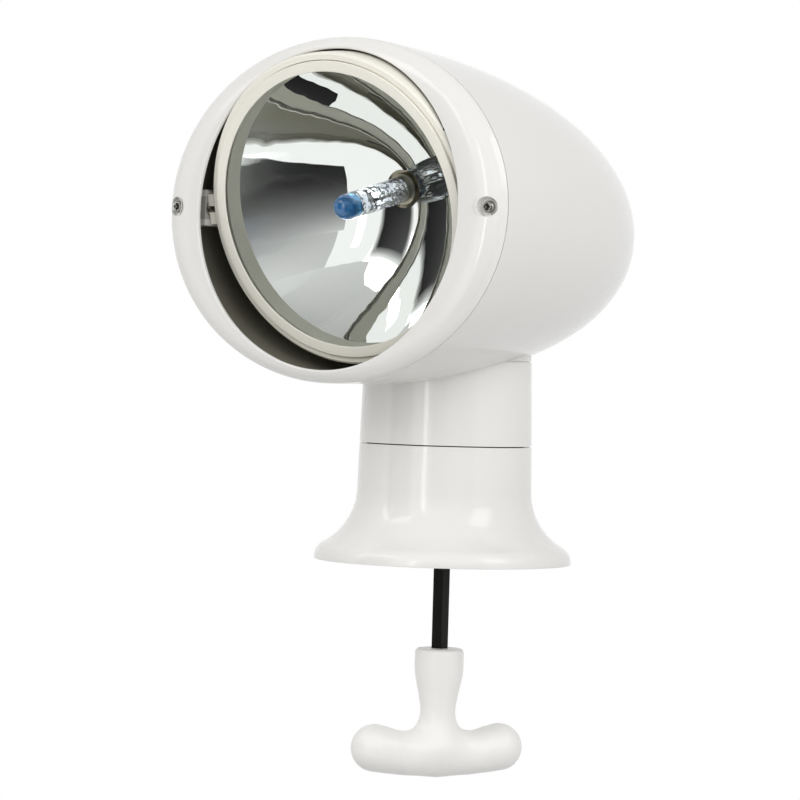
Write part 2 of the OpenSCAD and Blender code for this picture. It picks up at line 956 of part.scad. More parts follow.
module bulb_glass() {
  color(glass, 0.4)
    in_lamp()
      lathe_forward()
        intersection() {
          translate([0, bulb_seat])
            square([bulb_r, bulb_len + bulb_r]);
          difference() {
            union() {
              square_up(bulb_r, bulb_seat, bulb_seat + bulb_len - bulb_r);
              translate([0, bulb_seat + bulb_len - bulb_r])
                circle(r = bulb_r);
            }
            square_up(bulb_r - bulb_wall, bulb_seat + 3 * over, bulb_seat + bulb_len - bulb_r);
            translate([0, bulb_seat + bulb_len - bulb_r])
              circle(r = bulb_r - bulb_wall);
          }
        }
}

module square_up(r, v0, v1) {
  translate([0, v0])
    square([r, v1 - v0]);
}

module bulb_filament() {
  color(steel)
    in_lamp() {
      both_sides()
        translate([bulb_r / 2, 0, 0])
          forward_rod(clip_wire / 2, bulb_seat + 3 * over, bulb_seat + bulb_len * filament_share);
      translate([0, -bulb_seat - bulb_len * filament_share + clip_wire, 0])
        cross_rod(clip_wire * coil_share, -bulb_r / 2, bulb_r / 2);
    }
}

module bulb_base() {
  color(brass)
    in_lamp()
      lathe_forward()
        polygon([[0, socket_back], [cap_r, socket_back],
          [cap_r, socket_back + cap_len / 2 - bulb_flange_t - air],
          [bulb_flange_r, socket_back + cap_len / 2 - bulb_flange_t - air],
          [bulb_flange_r, socket_back + cap_len / 2 - air], [cap_r, socket_back + cap_len / 2 - air],
          [cap_r, bulb_seat], [0, bulb_seat]]);
}

module bulb_terminals() {
  color(brass)
    in_lamp()
      both_sides()
        span([cap_r / 2, -socket_back, -cap_r / 2],
          [cap_r / 2 + over, -socket_back + blade_len, cap_r / 2]);
}

module bulb_clip() {
  color(steel)
    in_lamp()
      difference() {
        span([-clip_ear, -clip_v, -clip_half],
          [clip_ear, -clip_v + clip_wire, clip_half]);
        forward_rod(cap_r + air, socket_back - over, apex_v);
        both_sides()
          translate([clip_ear - 3 * m2_r, 0, 0])
            forward_rod(m2_r + air, socket_back - over, apex_v + bowl_d);
      }
}

module clip_screws() {
  color(steel)
    in_lamp()
      both_sides()
        translate([clip_ear - 3 * m2_r, -clip_v + clip_wire, 0])
          rotate([-90, 0, 0])
            pan_screw(m2_r, bulb_flange_t + clip_wire, m2_head, m2_head_h);
}

module tilt_lever() {
  color(grey)
    in_lamp()
      difference() {
        union() {
          both_sides()
            span([lever_x - lever_t, carrier_back + air, -lever_h],
              [lever_x, bar_back + lever_t, lever_h]);
          span([-lever_x, bar_back, -lever_h], [lever_x, bar_back + lever_t, lever_h]);
          span([-blade_t / 2, bar_back, -blade_h], [blade_t / 2, slot_out + 2 * drive_r + over, blade_h]);
        }
        translate([-blade_t, 0, slot_mid])
          span([0, slot_in, -slot_half], [2 * blade_t, slot_out, slot_half]);
        for (y = [slot_in, slot_out])
          translate([0, y, slot_mid])
            cross_rod(slot_half, -blade_t, blade_t);
        both_sides()
          for (z = [-lever_screw_h, lever_screw_h])
            translate([lever_screw_x, 0, z])
              forward_rod(m2_r, lever_screw_v - lever_screw_len - over, over - carrier_back);
      }
}

module lever_screws() {
  color(steel)
    in_lamp()
      both_sides()
        for (z = [-lever_screw_h, lever_screw_h])
          translate([lever_screw_x, -lever_screw_v, z])
            rotate([90, 0, 0])
              pan_screw(m2_r - tiny / 2, lever_screw_len, m2_head - tiny, m2_head_h);
}

module control_rod() {
  color(black)
    difference() {
      span([-rod_w / 2, -rod_w / 2, rod_bottom], [rod_w / 2, rod_w / 2, rod_top]);
      translate([0, 0, fork_bottom + guide_len / 3])
        cross_rod(roll_pin_r, -rod_w, rod_w);
    }
}

module rod_fork() {
  color(steel)
    difference() {
      span([-fork_out, -fork_w, fork_bottom], [fork_out, fork_w, drive_z + fork_up]);
      span([-fork_in, -fork_w - over, fork_seat], [fork_in, fork_w + over, drive_z + fork_up + over]);
      span([-rod_w / 2, -rod_w / 2, fork_bottom - over], [rod_w / 2, rod_w / 2, rod_top + tiny]);
      translate([0, 0, drive_z])
        cross_rod(drive_r, -fork_out - over, fork_out + over);
      translate([0, 0, fork_bottom + guide_len / 3])
        cross_rod(roll_pin_r, -fork_out - over, fork_out + over);
    }
}

module drive_pin() {
  color(steel)
    translate([0, 0, drive_z]) {
      cross_rod(drive_r, -fork_out - over, fork_out + over);
      both_sides()
        cross_rod(drive_r + over, fork_out + tiny, fork_out + over);
    }
}

module fork_roll_pin() {
  color(steel)
    translate([0, 0, fork_bottom + guide_len / 3])
      cross_rod(roll_pin_r, -fork_out, fork_out);
}

module handle() {
  color(white)
    difference() {
      union() {
        rotate_extrude()
          polygon([[0, arm_z], [waist_r, arm_z], [waist_r, waist_z], [boss_r, boss_straight],
            [boss_r, handle_top - boss_edge], [boss_r - boss_edge, handle_top], [0, handle_top]]);
        rotate([0, 0, handle_turn])
          handle_arms();
      }
      span([-rod_w / 2, -rod_w / 2, rod_bottom - tiny], [rod_w / 2, rod_w / 2, handle_top + over]);
      translate([0, rod_w / 2, grub_z])
        rotate([-90, 0, 0])
          cylinder(r = grub_r, h = boss_r);
    }
}

// The two arms, one swept bar with round ends
module handle_arms() {
  translate([0, 0, arm_z + arm_sweep])
    rotate([90, 0, 0])
      rotate([0, 0, -90 - arm_angle])
        rotate_extrude(angle = 2 * arm_angle)
          translate([arm_sweep, 0])
            circle(r = arm_r);
  for (a = [-arm_angle, arm_angle])
    translate([arm_sweep * sin(a), 0, arm_z + arm_sweep * (1 - cos(a))])
      sphere(r = arm_r + arm_bead);
}

module handle_grub_screw() {
  color(steel)
    translate([0, rod_w / 2, grub_z])
      rotate([-90, 0, 0])
        difference() {
          cylinder(r = grub_r, h = boss_r - rod_w / 2 - over);
          translate([0, 0, boss_r - rod_w / 2 - over])
            cross_slot(grub_r / 2, grub_r / 2);
        }
}

base_pedestal();
base_plate();
plate_screws();
deck_gasket();
deck_inserts();
cable_grommet();
pan_bush();
pan_seal();
pan_stop_pin();
neck_collar();
pan_spindle();
head_screws();
thrust_washer();
spindle_circlip();
rod_guides();
rod_wiper();
head_shell();
front_bezel();
bezel_seal();
bezel_screws();
tilt_bracket_left();
tilt_bracket_right();
trunnion_bushes();
lamp_carrier();
trunnion_pins();
retaining_ring();
ring_screws();
lens();
lens_gasket();
reflector();
bulb_glass();
bulb_filament();
bulb_base();
bulb_terminals();
bulb_clip();
clip_screws();
tilt_lever();
lever_screws();
control_rod();
rod_fork();
drive_pin();
fork_roll_pin();
handle();
handle_grub_screw();
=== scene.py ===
# %% [markdown]
# # A deck searchlight, dressed for its portrait
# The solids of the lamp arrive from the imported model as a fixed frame: one object for each piece,
# all at the origin, with their places in their meshes. This lesson gives them finishes, rebuilds the
# few pieces whose softness a solid modeller can't give, and sets up camera, floor and light.
# Blender counts in metres. Sizes below are written in millimetres and multiplied by MM.

# %% Load the frame
import bpy
import bmesh
import json
import numpy as np
from math import asin, atan2, cos, hypot, pi, radians, sin, sqrt
from mathutils import Matrix, Vector


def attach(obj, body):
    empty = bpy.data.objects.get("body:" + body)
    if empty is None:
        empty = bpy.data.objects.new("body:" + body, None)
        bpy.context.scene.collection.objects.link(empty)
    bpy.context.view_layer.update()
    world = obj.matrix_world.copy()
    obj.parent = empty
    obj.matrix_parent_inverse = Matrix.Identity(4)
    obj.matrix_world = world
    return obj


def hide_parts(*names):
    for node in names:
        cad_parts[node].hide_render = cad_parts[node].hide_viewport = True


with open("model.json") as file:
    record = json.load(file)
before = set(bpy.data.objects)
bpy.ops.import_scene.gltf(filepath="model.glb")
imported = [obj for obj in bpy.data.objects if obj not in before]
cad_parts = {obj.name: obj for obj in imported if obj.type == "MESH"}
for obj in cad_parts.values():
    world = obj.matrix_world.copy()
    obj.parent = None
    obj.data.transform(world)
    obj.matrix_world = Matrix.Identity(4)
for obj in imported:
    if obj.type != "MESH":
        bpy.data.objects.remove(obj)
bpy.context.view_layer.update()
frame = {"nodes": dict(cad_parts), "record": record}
MM = 0.001

# %% [markdown]
# ## Camera
# A small product is photographed from well back with a long lens, so its sides stay nearly parallel.
# The place, direction and slight lean below come from measuring the flange, the neck and the head's
# oval in the picture. The lamp's beam points 35 degrees to the left of the camera.

# %% Place the camera
SWING = 0.605  # how far the camera stands round from the beam, radians
STAND_BACK = 1692 * MM  # from the pan axis
EYE_HEIGHT = 98.8 * MM  # above the deck
YAW, PITCH, LEAN = -0.013, -0.014, 0.029  # the camera's own small turns, radians
FOCAL, SENSOR = 162, 36  # millimetres
NEAR, FAR = 0.05, 50  # nothing nearer or further is drawn, metres


def show(name, data):
    """Puts a mesh, camera or light into the scene."""
    thing = bpy.data.objects.new(name, data)
    bpy.context.scene.collection.objects.link(thing)
    return thing


look = Vector((sin(YAW) * cos(PITCH), cos(YAW) * cos(PITCH), sin(PITCH)))
level = Vector((cos(YAW), -sin(YAW), 0))
upright = level.cross(look)
right = level * cos(LEAN) + upright * sin(LEAN)
up = upright * cos(LEAN) - level * sin(LEAN)
axes = Matrix((right, up, -look)).transposed().to_4x4()
camera_data = bpy.data.cameras.new("portrait_camera")
camera_data.lens, camera_data.sensor_width = FOCAL, SENSOR
camera_data.clip_start, camera_data.clip_end = NEAR, FAR
camera = show("portrait_camera", camera_data)
stand = Matrix.Translation((0, -STAND_BACK, EYE_HEIGHT))
camera.matrix_world = Matrix.Rotation(SWING, 4, "Z") @ stand @ axes
bpy.context.scene.camera = camera
print("camera at", [round(c, 3) for c in camera.matrix_world.translation])

# %% [markdown]
# ## Making materials
# Each finish is one Principled shader. What is the same all over is set straight on the shader's
# socket; only what varies over the surface, such as a faint mottle or a fine bump, comes from nodes.
# Patterns read Object coordinates, so they stay with the piece when it moves.

# %% Helpers for finishes
NOISE_LOW, NOISE_HIGH = 0.3, 0.7  # most of a noise lies between these


def add(tree, kind, sockets=None, **settings):
    """A new node; its sockets, by name or number, take plain values or links from other nodes."""
    node = tree.nodes.new(kind)
    for key, value in settings.items():
        setattr(node, key, value)
    for label, value in (sockets or {}).items():
        if isinstance(value, bpy.types.NodeSocket):
            tree.links.new(value, node.inputs[label])
        else:
            node.inputs[label].default_value = value
    return node


def finish_named(name, color, roughness, metallic=0.0, **sockets):
    """A plain finish; further sockets are named with underscores for spaces."""
    material = bpy.data.materials.new(name)
    material.use_nodes = True
    shader = material.node_tree.nodes["Principled BSDF"]
    shader.inputs["Base Color"].default_value = (*color, 1)
    shader.inputs["Roughness"].default_value = roughness
    shader.inputs["Metallic"].default_value = metallic
    for socket, value in sockets.items():
        shader.inputs[socket.replace("_", " ")].default_value = value
    return material


def object_pattern(tree, scale, detail=4.0, stretch=(1, 1, 1)):
    """A noise in the piece's own coordinates; returns its factor."""
    where = add(tree, "ShaderNodeTexCoord").outputs["Object"]
    mapped = add(tree, "ShaderNodeMapping", {"Vector": where, "Scale": stretch}).outputs["Vector"]
    sockets = {"Vector": mapped, "Scale": scale, "Detail": detail}
    return add(tree, "ShaderNodeTexNoise", sockets).outputs["Fac"]


def vary(material, socket, low, high, *pattern, factor=None):
    """Moves a socket between two numbers or colours, by a noise or a given factor."""
    tree = material.node_tree
    ramp = add(tree, "ShaderNodeValToRGB", {"Fac": object_pattern(tree, *pattern) if pattern else factor})
    for element, position, value in zip(ramp.color_ramp.elements, (NOISE_LOW, NOISE_HIGH), (low, high)):
        element.position = position
        element.color = (*value, 1) if isinstance(value, tuple) else (value, value, value, 1)
    tree.links.new(ramp.outputs["Color"], tree.nodes["Principled BSDF"].inputs[socket])


def roughen(material, strength, distance, *pattern):
    """A fine bump from a noise; the distance is in metres."""
    tree = material.node_tree
    sockets = {"Strength": strength, "Distance": distance, "Height": object_pattern(tree, *pattern)}
    bump = add(tree, "ShaderNodeBump", sockets)
    tree.links.new(bump.outputs["Normal"], tree.nodes["Principled BSDF"].inputs["Normal"])

# %% [markdown]
# ## The mouldings
# The housing is a glossy white moulding. Such a moulding is never one flat white: its tone drifts
# by a percent or so over a hand's breadth, and its gloss is a little uneven. Behind the opening the
# moulding's inner faces take a dull dark grey: painted shade for the shade that falls inside the head.
# The handle is the same resin with a duller skin, and the lamp's ring is creamier. The last numbers
# of each call are the noise's scale, detail and stretch.

# %% Housing, brackets, handle and ring
gloss_white = finish_named("gloss_white", (0.80, 0.79, 0.765), 0.11)
vary(gloss_white, "Base Color", (0.79, 0.78, 0.755), (0.81, 0.80, 0.775), 9, 3)
vary(gloss_white, "Roughness", 0.09, 0.13, 12, 2)

# painted shade: the inner faces of bezel and egg take this dull dark grey in place of the shade inside the
# head
painted_shade_inside = finish_named("painted_shade_inside", (0.24, 0.23, 0.18), 0.6)
vary(painted_shade_inside, "Base Color", (0.22, 0.21, 0.165), (0.26, 0.25, 0.195), 30, 3)

bracket_white = finish_named("bracket_white", (0.62, 0.61, 0.57), 0.5)
vary(bracket_white, "Base Color", (0.57, 0.56, 0.52), (0.66, 0.65, 0.61), 60)
roughen(bracket_white, 0.1, 0.0003, 900, 2)

satin_white = finish_named("satin_white", (0.88, 0.868, 0.845), 0.32)
vary(satin_white, "Base Color", (0.868, 0.856, 0.832), (0.892, 0.88, 0.858), 14, 3)
vary(satin_white, "Roughness", 0.28, 0.37, 70)
roughen(satin_white, 0.08, 0.0003, 500, 3)

ring_cream = finish_named("ring_cream", (0.85, 0.83, 0.74), 0.32)
vary(ring_cream, "Base Color", (0.835, 0.815, 0.725), (0.865, 0.845, 0.755), 20, 3)
vary(ring_cream, "Roughness", 0.28, 0.37, 90)
roughen(ring_cream, 0.06, 0.0003, 420, 2)
print("materials so far:", len(bpy.data.materials))

# %% [markdown]
# ## Metals, rubber and plastic
# Metal pieces show fine turning or drawing lines: a noise that is stretched along one direction. The
# rod is painted a dead black that hardly shines. Rubber and the grey bushes only need a faint mottle.

# %% Metals, rubber and grey plastic
steel = finish_named("turned_steel", (0.34, 0.335, 0.305), 0.28, 1.0)
vary(steel, "Roughness", 0.16, 0.3, 500, 3)
roughen(steel, 0.12, 0.0002, 900, 2, (1, 1, 6))

brass = finish_named("plain_brass", (0.60, 0.55, 0.43), 0.34, 1.0)
vary(brass, "Base Color", (0.56, 0.51, 0.40), (0.64, 0.59, 0.46), 120, 3)
roughen(brass, 0.1, 0.0002, 900, 2)

drawn_metal = finish_named("drawn_metal", (0.55, 0.55, 0.56), 0.4, 1.0)
vary(drawn_metal, "Roughness", 0.33, 0.5, 200, 3, (1, 12, 1))
roughen(drawn_metal, 0.12, 0.0002, 300, 2, (1, 12, 1))

black_rod = finish_named("black_rod", (0.007, 0.008, 0.005), 0.5, Specular_IOR_Level=0.1)
vary(black_rod, "Base Color", (0.004, 0.005, 0.003), (0.012, 0.013, 0.009), 160, 4, (1, 1, 0.15))
vary(black_rod, "Roughness", 0.42, 0.6, 300, 3, (1, 1, 0.1))

rubber = finish_named("black_rubber", (0.018, 0.018, 0.018), 0.65)
vary(rubber, "Base Color", (0.014, 0.014, 0.014), (0.026, 0.026, 0.025), 80, 3)
roughen(rubber, 0.2, 0.0002, 1200, 2)

grey_acetal = finish_named("grey_acetal", (0.36, 0.355, 0.33), 0.45)
vary(grey_acetal, "Base Color", (0.33, 0.325, 0.30), (0.39, 0.385, 0.36), 60, 3)
print("materials so far:", len(bpy.data.materials))

# %% [markdown]
# ## Mirror and glass
# The mirror is faintly wavy, as a pressed bowl is, and its collar has a satin coat. The lens has a low
# index, so that what lies behind it stays where the picture shows it. The bulb's glass is full of
# ripples, and its front is dipped in a blue lacquer that thins out at the edge. That colour follows a
# number stored on the mesh, so it stays on the glass whichever way the lamp tilts.

# %% Mirror, lens and bulb
mirror_coat = finish_named("mirror_coat", (0.93, 0.935, 0.925), 0.0, 1.0)
roughen(mirror_coat, 0.08, 0.002, 45, 2)

collar_satin = finish_named("collar_satin", (0.82, 0.81, 0.70), 0.38, 0.1)
vary(collar_satin, "Roughness", 0.34, 0.46, 80, 3)

lens_glass = finish_named("lens_glass", (0.97, 0.985, 0.975), 0.0, Transmission_Weight=1.0, IOR=1.12)
roughen(lens_glass, 0.02, 0.001, 25, 1)

bulb_clear = finish_named("bulb_clear", (0.93, 0.96, 1.0), 0.0, Transmission_Weight=1.0, IOR=1.45)
roughen(bulb_clear, 0.5, 0.002, 260, 2)

bulb_blue = finish_named("bulb_blue", (0.07, 0.38, 0.9), 0.03,
                         Transmission_Weight=0.6, IOR=1.45, Coat_Weight=0.8)
dip = add(bulb_blue.node_tree, "ShaderNodeAttribute", attribute_name="dip")
vary(bulb_blue, "Base Color", (0.45, 0.72, 0.98), (0.07, 0.40, 0.92), factor=dip.outputs["Fac"])
print("materials so far:", len(bpy.data.materials))

# %% [markdown]
# ## Shapes turned on a lathe
# Most of the lamp is round: the mirror, the lens, its ring and the bulb. A turned shape is a
# profile of (radius, height) points carried round an axis. Building it as a grid of quads gives
# far smoother reflections than a triangulated solid. The profile is a closed loop, and the points
# on the axis melt into poles. On the lamp, heights run along the beam from the tilt axis.

# %% A lathe, and placing a shape on the beam
HEAD_PITCH, REST_TILT = radians(1.3), radians(13.5)
AXIS_Z = 158.4  # the head's axis above the deck
TILT_Y, TILT_Z = -87.0, 159.6  # the lamp's tilt axis, before the head is pitched
TOUCHING = 1e-7  # points this near are one, metres

HEAD_MIDDLE = Vector((0, 0, AXIS_Z * MM))
pitched = Matrix.Rotation(-HEAD_PITCH, 4, "X")
IN_HEAD = Matrix.Translation(HEAD_MIDDLE) @ pitched @ Matrix.Translation(-HEAD_MIDDLE)
TILT_AXIS = IN_HEAD @ Vector((0, TILT_Y * MM, TILT_Z * MM))
ON_BEAM = Matrix.Translation(TILT_AXIS) @ Matrix.Rotation(REST_TILT + pi / 2, 4, "X")


def loop_round(name, loop_at, steps, material, sharp):
    """Closed loops of points, one for each step round an axis, joined by quads and cleaned.
    Edges sharper than some degrees stay crisp."""
    loops = [loop_at(2 * pi * i / steps) for i in range(steps)]
    count = len(loops[0])
    faces = []
    for i in range(steps):
        j = (i + 1) % steps
        for k in range(count):
            n = (k + 1) % count
            faces.append((i * count + k, i * count + n, j * count + n, j * count + k))
    mesh = bpy.data.meshes.new(name)
    mesh.from_pydata([tuple(p) for loop in loops for p in loop], [], faces)
    work = bmesh.new()
    work.from_mesh(mesh)
    bmesh.ops.remove_doubles(work, verts=work.verts, dist=TOUCHING)
    bmesh.ops.dissolve_degenerate(work, edges=work.edges, dist=TOUCHING)
    bmesh.ops.recalc_face_normals(work, faces=work.faces)
    work.to_mesh(mesh)
    work.free()
    mesh.shade_smooth()
    mesh.set_sharp_from_angle(angle=radians(sharp))
    mesh.materials.append(material)
    return show(name, mesh)


def turned(name, profile, material, steps=192, place=ON_BEAM, sharp=35):
    """A profile of (radius, height) points, in millimetres, carried round an axis."""
    def loop_at(angle):
        c, s = cos(angle), sin(angle)
        return [place @ Vector((r * MM * c, r * MM * s, h * MM)) for r, h in profile]
    return loop_round(name, loop_at, steps, material, sharp)


print("tilt axis at", [round(c / MM, 1) for c in TILT_AXIS], "mm")

# %% [markdown]
# ## The lamp's mirror
# The bowl is a parabola, 41 mm deep, with its axis on the beam, behind a straight collar 9 mm
# deep. A parabola is easy to write down, so the points of its profile come from the formula.

# %% Mirror bowl with its collar
MIRROR_R, HOLE_R, SKIN = 63.6, 9.0, 1.2  # inside the collar, hole for the bulb's base, wall
COLLAR, BOWL, BOWL_STEPS = 9.0, 41.0, 72  # depths, and how finely the parabola is drawn
FLANGE_R, FLANGE_FOOT = 67.6, -0.2  # the rim that rests in the carrier
RIM_H, NECK_END = 1.0, -54.4
RIM_EDGE, COLLAR_MID = 0.3, 4.0  # bevel of the rim, a further row of points in the collar
BOWL_H = RIM_H - COLLAR
APEX_H = BOWL_H - BOWL


def bowl_at(share, out=0.0):
    return (MIRROR_R * share + out, APEX_H + BOWL * share ** 2 - out)


shares = [1 - (1 - HOLE_R / MIRROR_R) * i / BOWL_STEPS for i in range(BOWL_STEPS + 1)]
flange = [(FLANGE_R, FLANGE_FOOT), (FLANGE_R, RIM_H), (MIRROR_R + RIM_EDGE, RIM_H)]
collar = [(MIRROR_R, RIM_H - RIM_EDGE), (MIRROR_R, RIM_H - COLLAR_MID)]
front = [bowl_at(s) for s in shares]
neck = [(HOLE_R, NECK_END), (HOLE_R + SKIN, NECK_END)]
back = [bowl_at(s, SKIN) for s in reversed(shares)] + [(MIRROR_R + SKIN, FLANGE_FOOT)]
mirror = turned("mirror_bowl", flange + collar + front + neck + back, mirror_coat, 256)
mirror.data.materials.append(collar_satin)
to_beam = ON_BEAM.inverted()
for face in mirror.data.polygons:
    face.material_index = int((to_beam @ face.center).z / MM > BOWL_H)
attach(mirror, "lamp")
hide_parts("reflector")
print("mirror faces:", len(mirror.data.polygons))

# %% [markdown]
# ## Lens
# The lens is a shallow dome of clear glass, as thick in the middle as at its rim. The hollow below and
# the dome above are the same curve at two heights.

# %% Lens
DOME_R, LENS_OUT = 63.6, 66.5  # the curved part, and the flat rim round it
LENS_H, LENS_T, LENS_SAG = 1.6, 2.4, 4.0  # seat, thickness and rise
DOME_STEPS = 24


def dome_at(share, height):
    return (DOME_R * share, height + LENS_SAG * (1 - share ** 2))


shares_out = [i / DOME_STEPS for i in range(DOME_STEPS + 1)]
hollow = [dome_at(s, LENS_H) for s in shares_out]
lens_rim = [(LENS_OUT, LENS_H), (LENS_OUT, LENS_H + LENS_T)]
dome = [dome_at(s, LENS_H + LENS_T) for s in reversed(shares_out)]
lens = turned("lens_dome", hollow + lens_rim + dome, lens_glass, 192)
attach(lens, "lamp")
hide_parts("lens")
print("lens faces:", len(lens.data.polygons))

# %% [markdown]
# ## Ring and seal
# A ring holds the lens in its carrier. The fine line between the ring and the carrier's rim is the real
# gap between two pieces, and the ring's lip hides the thin rubber seal below the glass. Small soft
# edges catch the light where a sharp edge would vanish, so a helper rounds the corners of a profile.

# %% Retaining ring and seal
LIP_IN, SEAT_R, RING_OUT = 62.8, 66.85, 67.65
RING_FOOT, SEAT_H, LIP_H, RING_TOP = 1.1, 4.1, 4.3, 5.0
SEAL_IN, SEAL_OUT, SEAL_FOOT, SEAL_TOP = 65.9, 66.5, 1.0, 1.6
MOST_OF_EDGE = 0.45  # a rounding takes at most this share of an edge


def softened(profile, radii, steps):
    """Rounds the corners of a closed profile, each by its own radius."""
    corners = [Vector(p) for p in profile]
    out = []
    for i, corner in enumerate(corners):
        before, after = corners[i - 1] - corner, corners[(i + 1) % len(corners)] - corner
        reach = min(radii[i], MOST_OF_EDGE * before.length, MOST_OF_EDGE * after.length)
        if reach == 0:
            out.append(tuple(corner))
            continue
        a, b = corner + before.normalized() * reach, corner + after.normalized() * reach
        for k in range(steps + 1):
            t = k / steps
            out.append(tuple(a * (1 - t) ** 2 + corner * 2 * t * (1 - t) + b * t ** 2))
    return out


ring_corners = [(LIP_IN, LIP_H), (SEAT_R, SEAT_H), (SEAT_R, RING_FOOT),
                (RING_OUT, RING_FOOT), (RING_OUT, RING_TOP), (LIP_IN, RING_TOP)]
ring = turned("lens_ring", softened(ring_corners, [0.1, 0, 0, 0.1, 0.35, 0.6], 6), ring_cream, 256)
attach(ring, "lamp")
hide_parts("retaining_ring")

seal_corners = [(SEAL_IN, SEAL_FOOT), (SEAL_OUT, SEAL_FOOT), (SEAL_OUT, SEAL_TOP), (SEAL_IN, SEAL_TOP)]
seal = turned("lens_seal", softened(seal_corners, [0.2] * 4, 3), rubber, 192)
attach(seal, "lamp")
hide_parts("lens_gasket")
print("ring and seal faces:", len(ring.data.polygons), len(seal.data.polygons))

# %% [markdown]
# ## The bulb
# A halogen bulb is a thin glass thimble. The glass has two walls, so that light bends in it as it
# does in the real one, and its round front carries the blue dip.

# %% Bulb glass
BULB_R, BULB_LEN, BULB_WALL, BULB_FLOOR = 6.0, 49.5, 0.8, 3.0
BULB_SEAT = APEX_H + 2
DIP_START, DIP_FADE = 9.0, 7.0  # the dip starts this far below the round end, and thins out over this
round_mid = BULB_SEAT + BULB_LEN - BULB_R
inner_r = BULB_R - BULB_WALL
quarter = [pi / 2 * i / 16 for i in range(17)]
outer_wall = [(BULB_R, h) for h in (BULB_SEAT, BULB_SEAT + 8, BULB_SEAT + 16, round_mid - 4)]
outer_wall += [(BULB_R * cos(a), round_mid + BULB_R * sin(a)) for a in quarter]
inner_wall = [(inner_r * sin(a), round_mid + inner_r * cos(a)) for a in quarter]
inner_wall += [(inner_r, BULB_SEAT + BULB_FLOOR), (0, BULB_SEAT + BULB_FLOOR)]
bulb = turned("bulb_thimble", outer_wall + inner_wall + [(0, BULB_SEAT)], bulb_clear, 64)
bulb.data.materials.append(bulb_blue)
depth = np.array([(to_beam @ v.co).z / MM for v in bulb.data.vertices])
dipped = np.clip((depth - (round_mid - DIP_START)) / DIP_FADE, 0, 1)
bulb.data.attributes.new("dip", "FLOAT", "POINT").data.foreach_set("value", dipped.astype(np.float32))
for face in bulb.data.polygons:
    face.material_index = int(min(dipped[i] for i in face.vertices) > 0.01)
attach(bulb, "lamp")
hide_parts("bulb_glass")
print("bulb faces in the blue dip:", sum(f.material_index for f in bulb.data.polygons))

# %% [markdown]
# ## The bezel
# The front moulding swells from the head's oval to the round opening, so no single lathe can make
# it. Here every direction round the beam gets its own closed loop: from the joint over the nose to
# the opening, round its edge, and back inside the wall. The nose is an ellipse that eases into the
# flat front; the easing hides the crease that a plain cut would leave on the cheeks.

# %% Bezel moulding
HALF_W, HALF_H, NOSE = 93.3, 77.8, 20.0  # the oval at the joint, and the depth of the nose's ellipse
FACE, OPEN_R, LIP_ROUND = 8.6, 72.0, 0.9  # flat front ahead of the joint, opening and its round edge
WALL_T, LIP_T, HOLLOW_SHARE = 3.0, 1.6, 0.85  # walls; the hollow inside is flatter than the nose
JOINT_Y, JOINT_GAP, JOINT_EDGE = 92.0, 0.3, 0.3
NOSE_STEPS, LIP_STEPS, BACK_STEPS = 36, 6, 12
CRISP = 40  # edges of the housing sharper than this stay crisp, degrees


def eased(a, b, width=3.2):
    """The smaller of two depths, with a soft change from one to the other."""
    h = max(width - abs(a - b), 0) / width
    return min(a, b) - h * h * width / 4


def nose_depth(r, rim):
    return NOSE * sqrt(max(0.0, 1 - (r / rim) ** 2))


def rim_at(angle):
    """Radius of the head's oval in one direction."""
    return 1 / hypot(cos(angle) / HALF_W, sin(angle) / HALF_H)


def bezel_section(rim):
    """The closed loop in one direction, as (radius, depth ahead of the joint)."""
    edge = rim * sqrt(1 - (JOINT_GAP / NOSE) ** 2)
    loop = [(edge - JOINT_EDGE, JOINT_GAP), (edge, JOINT_GAP + JOINT_EDGE)]
    for i in range(1, NOSE_STEPS + 1):
        t = i / NOSE_STEPS
        r = edge + (OPEN_R + LIP_ROUND - edge) * (1 - (1 - t) ** 2)
        loop.append((r, max(JOINT_GAP, eased(nose_depth(r, rim), FACE))))
    front = loop[-1][1]
    for i in range(1, LIP_STEPS + 1):
        a = pi / 2 * i / LIP_STEPS
        loop.append((OPEN_R + LIP_ROUND * (1 - sin(a)), front - LIP_ROUND * (1 - cos(a))))
    back = front - LIP_T
    loop.append((OPEN_R, back))
    for i in range(1, BACK_STEPS):
        t = i / BACK_STEPS
        r = OPEN_R + (rim - WALL_T - OPEN_R) * t
        loop.append((r, max(JOINT_GAP, min(back, nose_depth(r, rim - WALL_T) * HOLLOW_SHARE))))
    return loop + [(rim - WALL_T, JOINT_GAP)]


def bezel_loop(angle):
    c, s = cos(angle), sin(angle)
    section = bezel_section(rim_at(angle))
    return [IN_HEAD @ (Vector((r * c, -JOINT_Y - d, AXIS_Z + r * s)) * MM) for r, d in section]


bezel = loop_round("bezel_moulding", bezel_loop, 360, gloss_white, CRISP)
print("bezel faces before the screw holes:", len(bezel.data.polygons))

# %% [markdown]
# Two screws hold the bezel, sunk in round counterbores on the cheeks. Behind each stands a post. It is
# turned like the other round pieces, but its top follows the nose, just under the skin.

# %% Posts behind the cheeks
SCREW_X, SCREW_Z = 86.4, TILT_Z
POST_R, POST_SKIN, POST_FOOT, POST_LEAST = 5.0, 0.7, 0.5, 1.0


def screw_post(side):
    def top_at(x, z):
        rim = rim_at(atan2(z - AXIS_Z, x))
        return max(POST_LEAST, nose_depth(hypot(x, z - AXIS_Z), rim) - POST_SKIN)

    def loop_at(angle):
        loop = []
        for r, on_top in ((0, False), (POST_R, False), (POST_R, True), (POST_R / 2, True), (0, True)):
            x, z = side * SCREW_X + r * cos(angle), SCREW_Z + r * sin(angle)
            d = top_at(x, z) if on_top else POST_FOOT
            loop.append(IN_HEAD @ (Vector((x, -JOINT_Y - d, z)) * MM))
        return loop
    return loop_round("screw_post", loop_at, 64, gloss_white, CRISP)


posts = {side: screw_post(side) for side in (-1, 1)}
print("post faces:", [len(post.data.polygons) for post in posts.values()])

# %% [markdown]
# A Boolean cuts the counterbore through skin and post, a hair wider in the post, because two walls in
# one place would shade each other. Its result becomes the piece's own mesh before the next cut.

